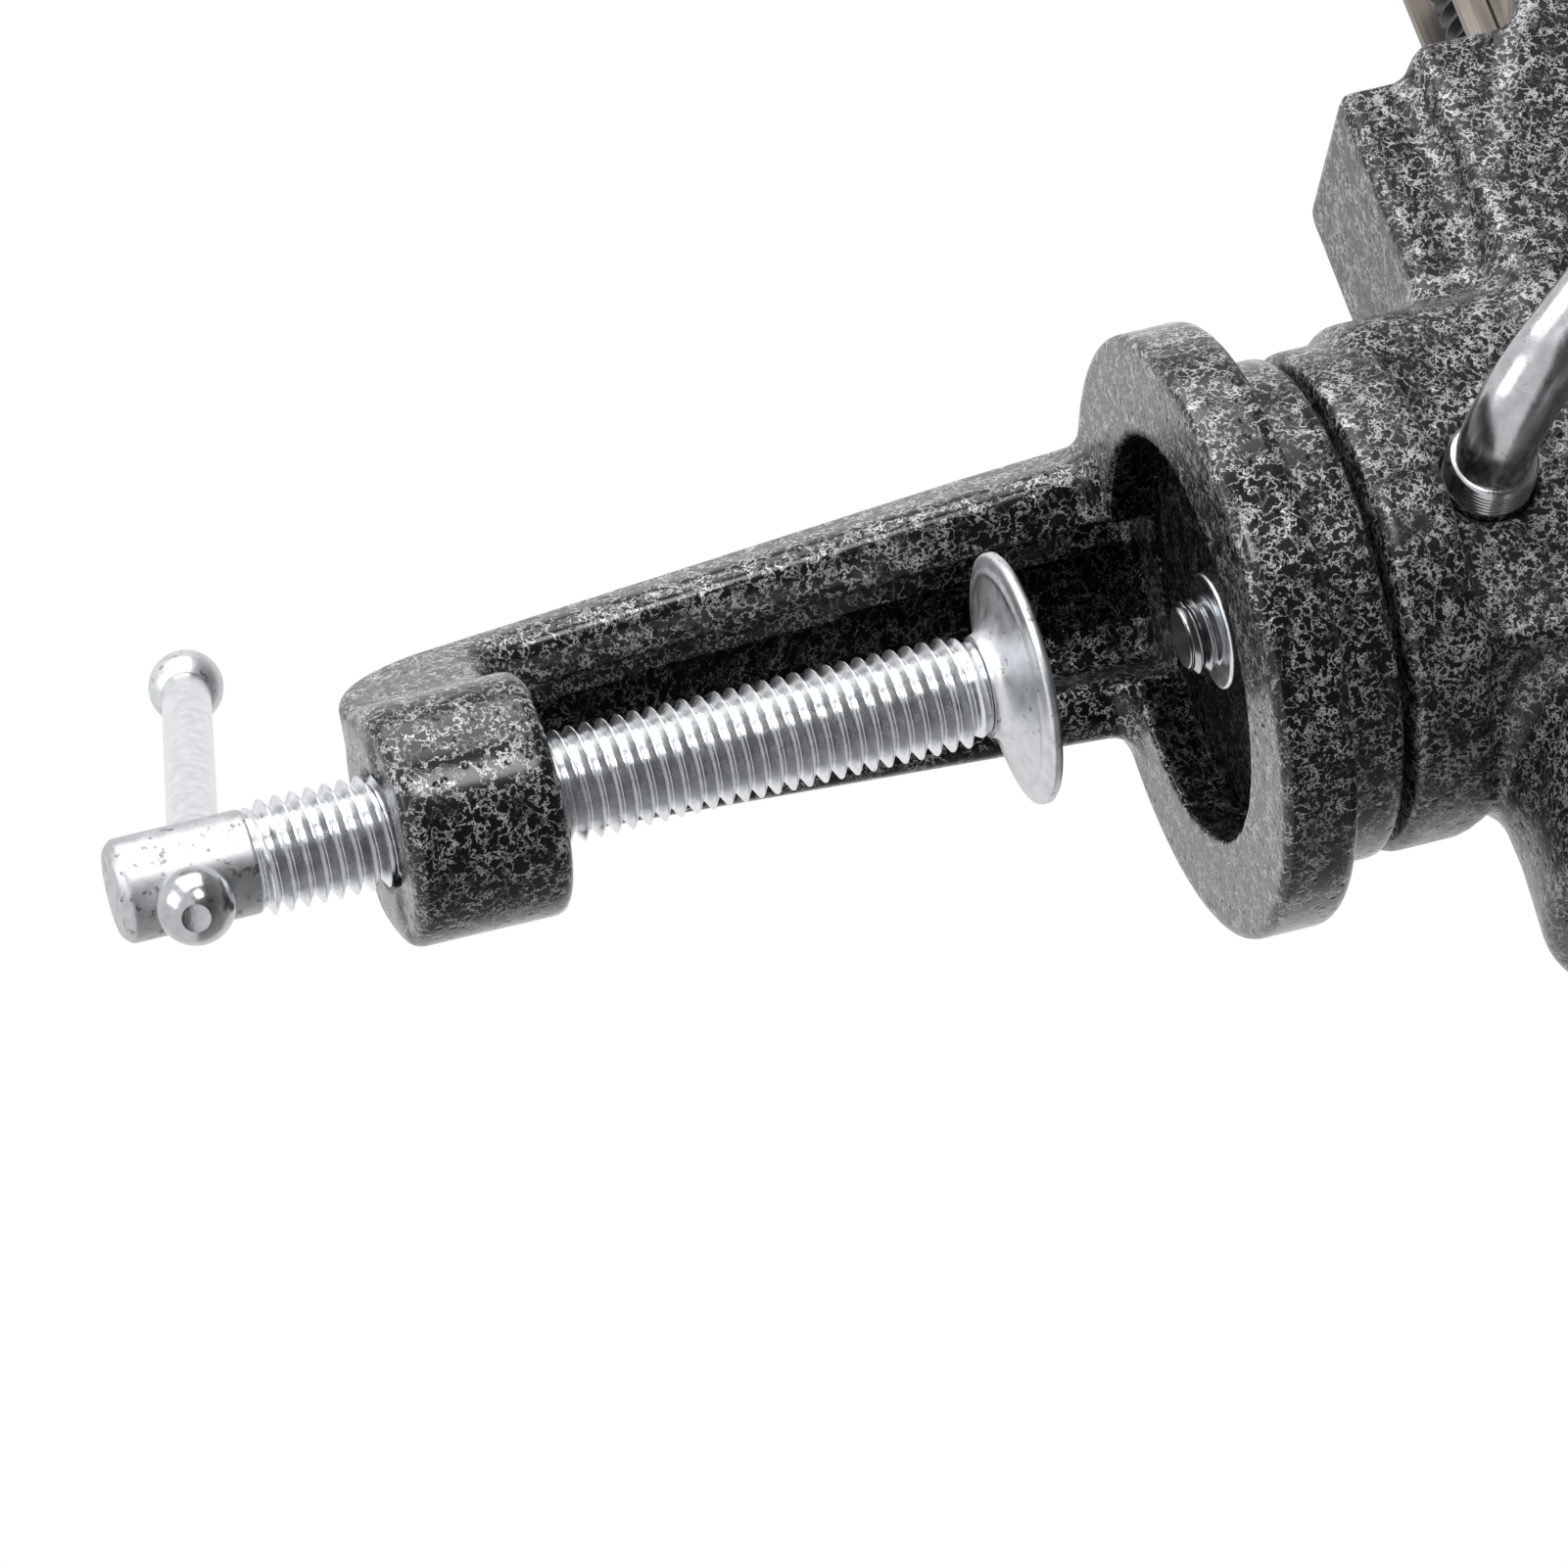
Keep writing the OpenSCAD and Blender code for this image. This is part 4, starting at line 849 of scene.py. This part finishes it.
spindle_head = rounded([(0.0, -104.9), (9.0, -104.9), (11.0, -102.9), (11.0, -86.9), (6.0, -86.9),
                        (6.0, -68.5), (4.9, -67.5), (0.0, -67.5)], [0.6, 0.8, 0.7, 0.0, 0.5, 0.0])
spindle_core = np.array([(0.0, -68.0), (3.9, -68.0), (3.9, 73.2), (3.4, 74.0), (0.0, 74.0)])
spindle_thread = thread(5.0, 1.1, 2.0, SPINDLE_NECK, SPINDLE_END, (1.0, 1.2), 48)
spindle_parts = [lathe(spindle_head), lathe(spindle_core, 48), spindle_thread]
spindle_mesh = grid_mesh("spindle_plated", [along_slide(part) for part in spindle_parts], 40.0)
# The thread lies in the sliding bar's hollow and takes a near-black steel: painted shade of the hollow.
finish_faces(spindle_mesh, lambda p, n: p[:, 1] > SPINDLE_NECK)
painted_shade_steel = jaw_steel("painted_shade_steel", 0.05, 0.13)
place_piece(spindle_mesh, [plating, painted_shade_steel], "spindle", "spindle")
spring_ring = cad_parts["spindle_retainer"]
spring_ring.data.materials.clear()
spring_ring.data.materials.append(hard_steel)


# Handle bar. A plated rod that slides in the spindle's head, stopped by a turned knob at each end; the
# knobs are drilled and pressed on.
HANDLE_Y, HANDLE_RADIUS = -95.9, 4.0
END_RADIUS, END_FACE, END_BEVEL = 7.0, 5.0, 2.0


def along_handle(grid):
    """Turns a lathed grid from Z to the level handle: (x, y, z) to (z, x + HANDLE_Y, y + SPINDLE_Z)."""
    return np.stack([grid[..., 2], grid[..., 0] + HANDLE_Y, grid[..., 1] + SPINDLE_Z], -1)


def turned_knob(near, far):
    """Barrel knob between two heights, with bevelled, softened ends."""
    slope = END_BEVEL * np.sign(far - near)
    outline = [(0.0, near), (END_FACE, near), (END_RADIUS, near + slope), (END_RADIUS, far - slope),
               (END_FACE, far), (0.0, far)]
    return lathe(rounded(outline, [0.5, 0.8, 0.8, 0.5]), 56)


handle_rod = np.array([(0.0, -54.4), (HANDLE_RADIUS, -54.4), (HANDLE_RADIUS, 54.4), (0.0, 54.4)])
handle_mesh = grid_mesh("handle_rod", [along_handle(lathe(handle_rod, 48))])
place_piece(handle_mesh, [plating], "handle", "handle_bar")
for hand, near, far in (("left", -50.0, -59.0), ("right", 50.0, 59.0)):
    end_mesh = grid_mesh(f"handle_end_{hand}", [along_handle(turned_knob(near, far))])
    place_piece(end_mesh, [plating], "handle", f"handle_knob_{hand}")


# Studio. Floor and backdrop that the camera and the metal see as plain white, clear from behind so that they
# never hide the object, a dim room on the camera's side and three soft lamps: key, edge and fill. The camera
# looks up along the clamp, turned on its side.
AIM = np.array([0.0, 0.0, -0.045])
EYE_BACK, EYE_RIGHT, EYE_DOWN = 0.931554, 0.00139, 0.00491
HALF_VIEW = math.radians(5.0)
FLOOR_HALF, FLOOR_Z = 4.0, -0.8
BACKDROP_HALF, BACKDROP_AWAY = 1.6, 1.1
swing, tilt, roll = math.radians(-64.05), math.radians(-12.256), math.radians(76.524)
back = np.array([math.sin(swing) * math.cos(tilt), -math.cos(swing) * math.cos(tilt), math.sin(tilt)])
level = np.cross([0.0, 0.0, 1.0], back)
level /= np.linalg.norm(level)
upward = np.cross(back, level)
right = math.cos(roll) * level + math.sin(roll) * upward
top = -math.sin(roll) * level + math.cos(roll) * upward

sheet = bpy.data.materials.new("white_sheet")
sheet.use_nodes = True
sheet_nodes, sheet_links = sheet.node_tree.nodes, sheet.node_tree.links
paint = sheet_nodes["Principled BSDF"]
paint.inputs["Base Color"].default_value = (0.8, 0.8, 0.8, 1.0)
paint.inputs["Roughness"].default_value = 0.9
white = sheet_nodes.new("ShaderNodeEmission")
white.inputs["Strength"].default_value = 1.0
path = sheet_nodes.new("ShaderNodeLightPath")
direct = sheet_nodes.new("ShaderNodeMath")
direct.operation = "MAXIMUM"
through = sheet_nodes.new("ShaderNodeMath")
through.operation = "MAXIMUM"
seen = sheet_nodes.new("ShaderNodeMixShader")
sheet_links.new(path.outputs["Is Camera Ray"], direct.inputs[0])
sheet_links.new(path.outputs["Is Glossy Ray"], direct.inputs[1])
sheet_links.new(direct.outputs[0], through.inputs[0])
sheet_links.new(path.outputs["Is Transmission Ray"], through.inputs[1])
sheet_links.new(through.outputs[0], seen.inputs["Fac"])
sheet_links.new(paint.outputs["BSDF"], seen.inputs[1])
sheet_links.new(white.outputs["Emission"], seen.inputs[2])
side_seen = sheet_nodes.new("ShaderNodeNewGeometry")
clear = sheet_nodes.new("ShaderNodeBsdfTransparent")
one_sided = sheet_nodes.new("ShaderNodeMixShader")
sheet_links.new(side_seen.outputs["Backfacing"], one_sided.inputs["Fac"])
sheet_links.new(seen.outputs["Shader"], one_sided.inputs[1])
sheet_links.new(clear.outputs["BSDF"], one_sided.inputs[2])
sheet_links.new(one_sided.outputs["Shader"], sheet_nodes["Material Output"].inputs["Surface"])
behind = AIM - BACKDROP_AWAY * back
square = ((-1, -1), (1, -1), (1, 1), (-1, 1))
sheets = {"floor": [(FLOOR_HALF * a, FLOOR_HALF * b, FLOOR_Z) for a, b in square],
          "backdrop": [behind + BACKDROP_HALF * (a * level + b * upward) for a, b in square]}
for name, points in sheets.items():
    sheet_mesh = bpy.data.meshes.new(name)
    sheet_mesh.from_pydata([tuple(point) for point in points], [], [(0, 1, 2, 3)])
    sheet_mesh.materials.append(sheet)
    sheet_object = bpy.data.objects.new(name, sheet_mesh)
    bpy.context.scene.collection.objects.link(sheet_object)

world = bpy.data.worlds.new("studio")
bpy.context.scene.world = world
world.use_nodes = True
air, joins = world.node_tree.nodes, world.node_tree.links
room = air["Background"]
room.inputs["Color"].default_value = (1.0, 1.0, 1.0, 1.0)
toward = air.new("ShaderNodeTexCoord")
facing = air.new("ShaderNodeVectorMath")
facing.operation = "DOT_PRODUCT"
facing.inputs[1].default_value = tuple(back)
dim = air.new("ShaderNodeMapRange")
dim.inputs["From Min"].default_value = -0.4
dim.inputs["From Max"].default_value = 0.7
dim.inputs["To Min"].default_value = 0.45
dim.inputs["To Max"].default_value = 0.1
bright = air.new("ShaderNodeBackground")
bright.inputs["Color"].default_value = (1.0, 1.0, 1.0, 1.0)
bright.inputs["Strength"].default_value = 1.0
ray = air.new("ShaderNodeLightPath")
choose = air.new("ShaderNodeMixShader")
joins.new(toward.outputs["Generated"], facing.inputs[0])
joins.new(facing.outputs["Value"], dim.inputs["Value"])
joins.new(dim.outputs["Result"], room.inputs["Strength"])
joins.new(ray.outputs["Is Camera Ray"], choose.inputs["Fac"])
joins.new(room.outputs["Background"], choose.inputs[1])
joins.new(bright.outputs["Background"], choose.inputs[2])
joins.new(choose.outputs["Shader"], air["World Output"].inputs["Surface"])

for name, place, power, size in (("key_lamp", -0.25 * right + 0.7 * top + 0.16 * back, 5.4, 0.7),
                                 ("edge_lamp", 0.05 * right + 0.42 * top + 0.65 * back, 2.1, 0.25),
                                 ("fill_lamp", -0.75 * right + 0.1 * top + 0.3 * back, 2.0, 0.5)):
    lamp = bpy.data.lights.new(name, "AREA")
    lamp.energy = power
    lamp.size = size
    lamp_object = bpy.data.objects.new(name, lamp)
    lamp_object.location = place
    lamp_object.rotation_mode = "QUATERNION"
    lamp_object.rotation_quaternion = Vector(-place).to_track_quat("-Z", "Y")
    bpy.context.scene.collection.objects.link(lamp_object)

eye = AIM + EYE_BACK * back + EYE_RIGHT * right - EYE_DOWN * top
camera = bpy.data.objects.new("camera", bpy.data.cameras.new("camera"))
camera.data.sensor_width = 36.0
camera.data.lens = camera.data.sensor_width / 2 / math.tan(HALF_VIEW)
camera.data.clip_start, camera.data.clip_end = 0.05, 20.0
axes = [[right[i], top[i], back[i], eye[i]] for i in range(3)]
camera.matrix_world = Matrix(axes + [[0.0, 0.0, 0.0, 1.0]])
bpy.context.scene.collection.objects.link(camera)
bpy.context.scene.camera = camera
bpy.context.scene.view_settings.view_transform = "Standard"
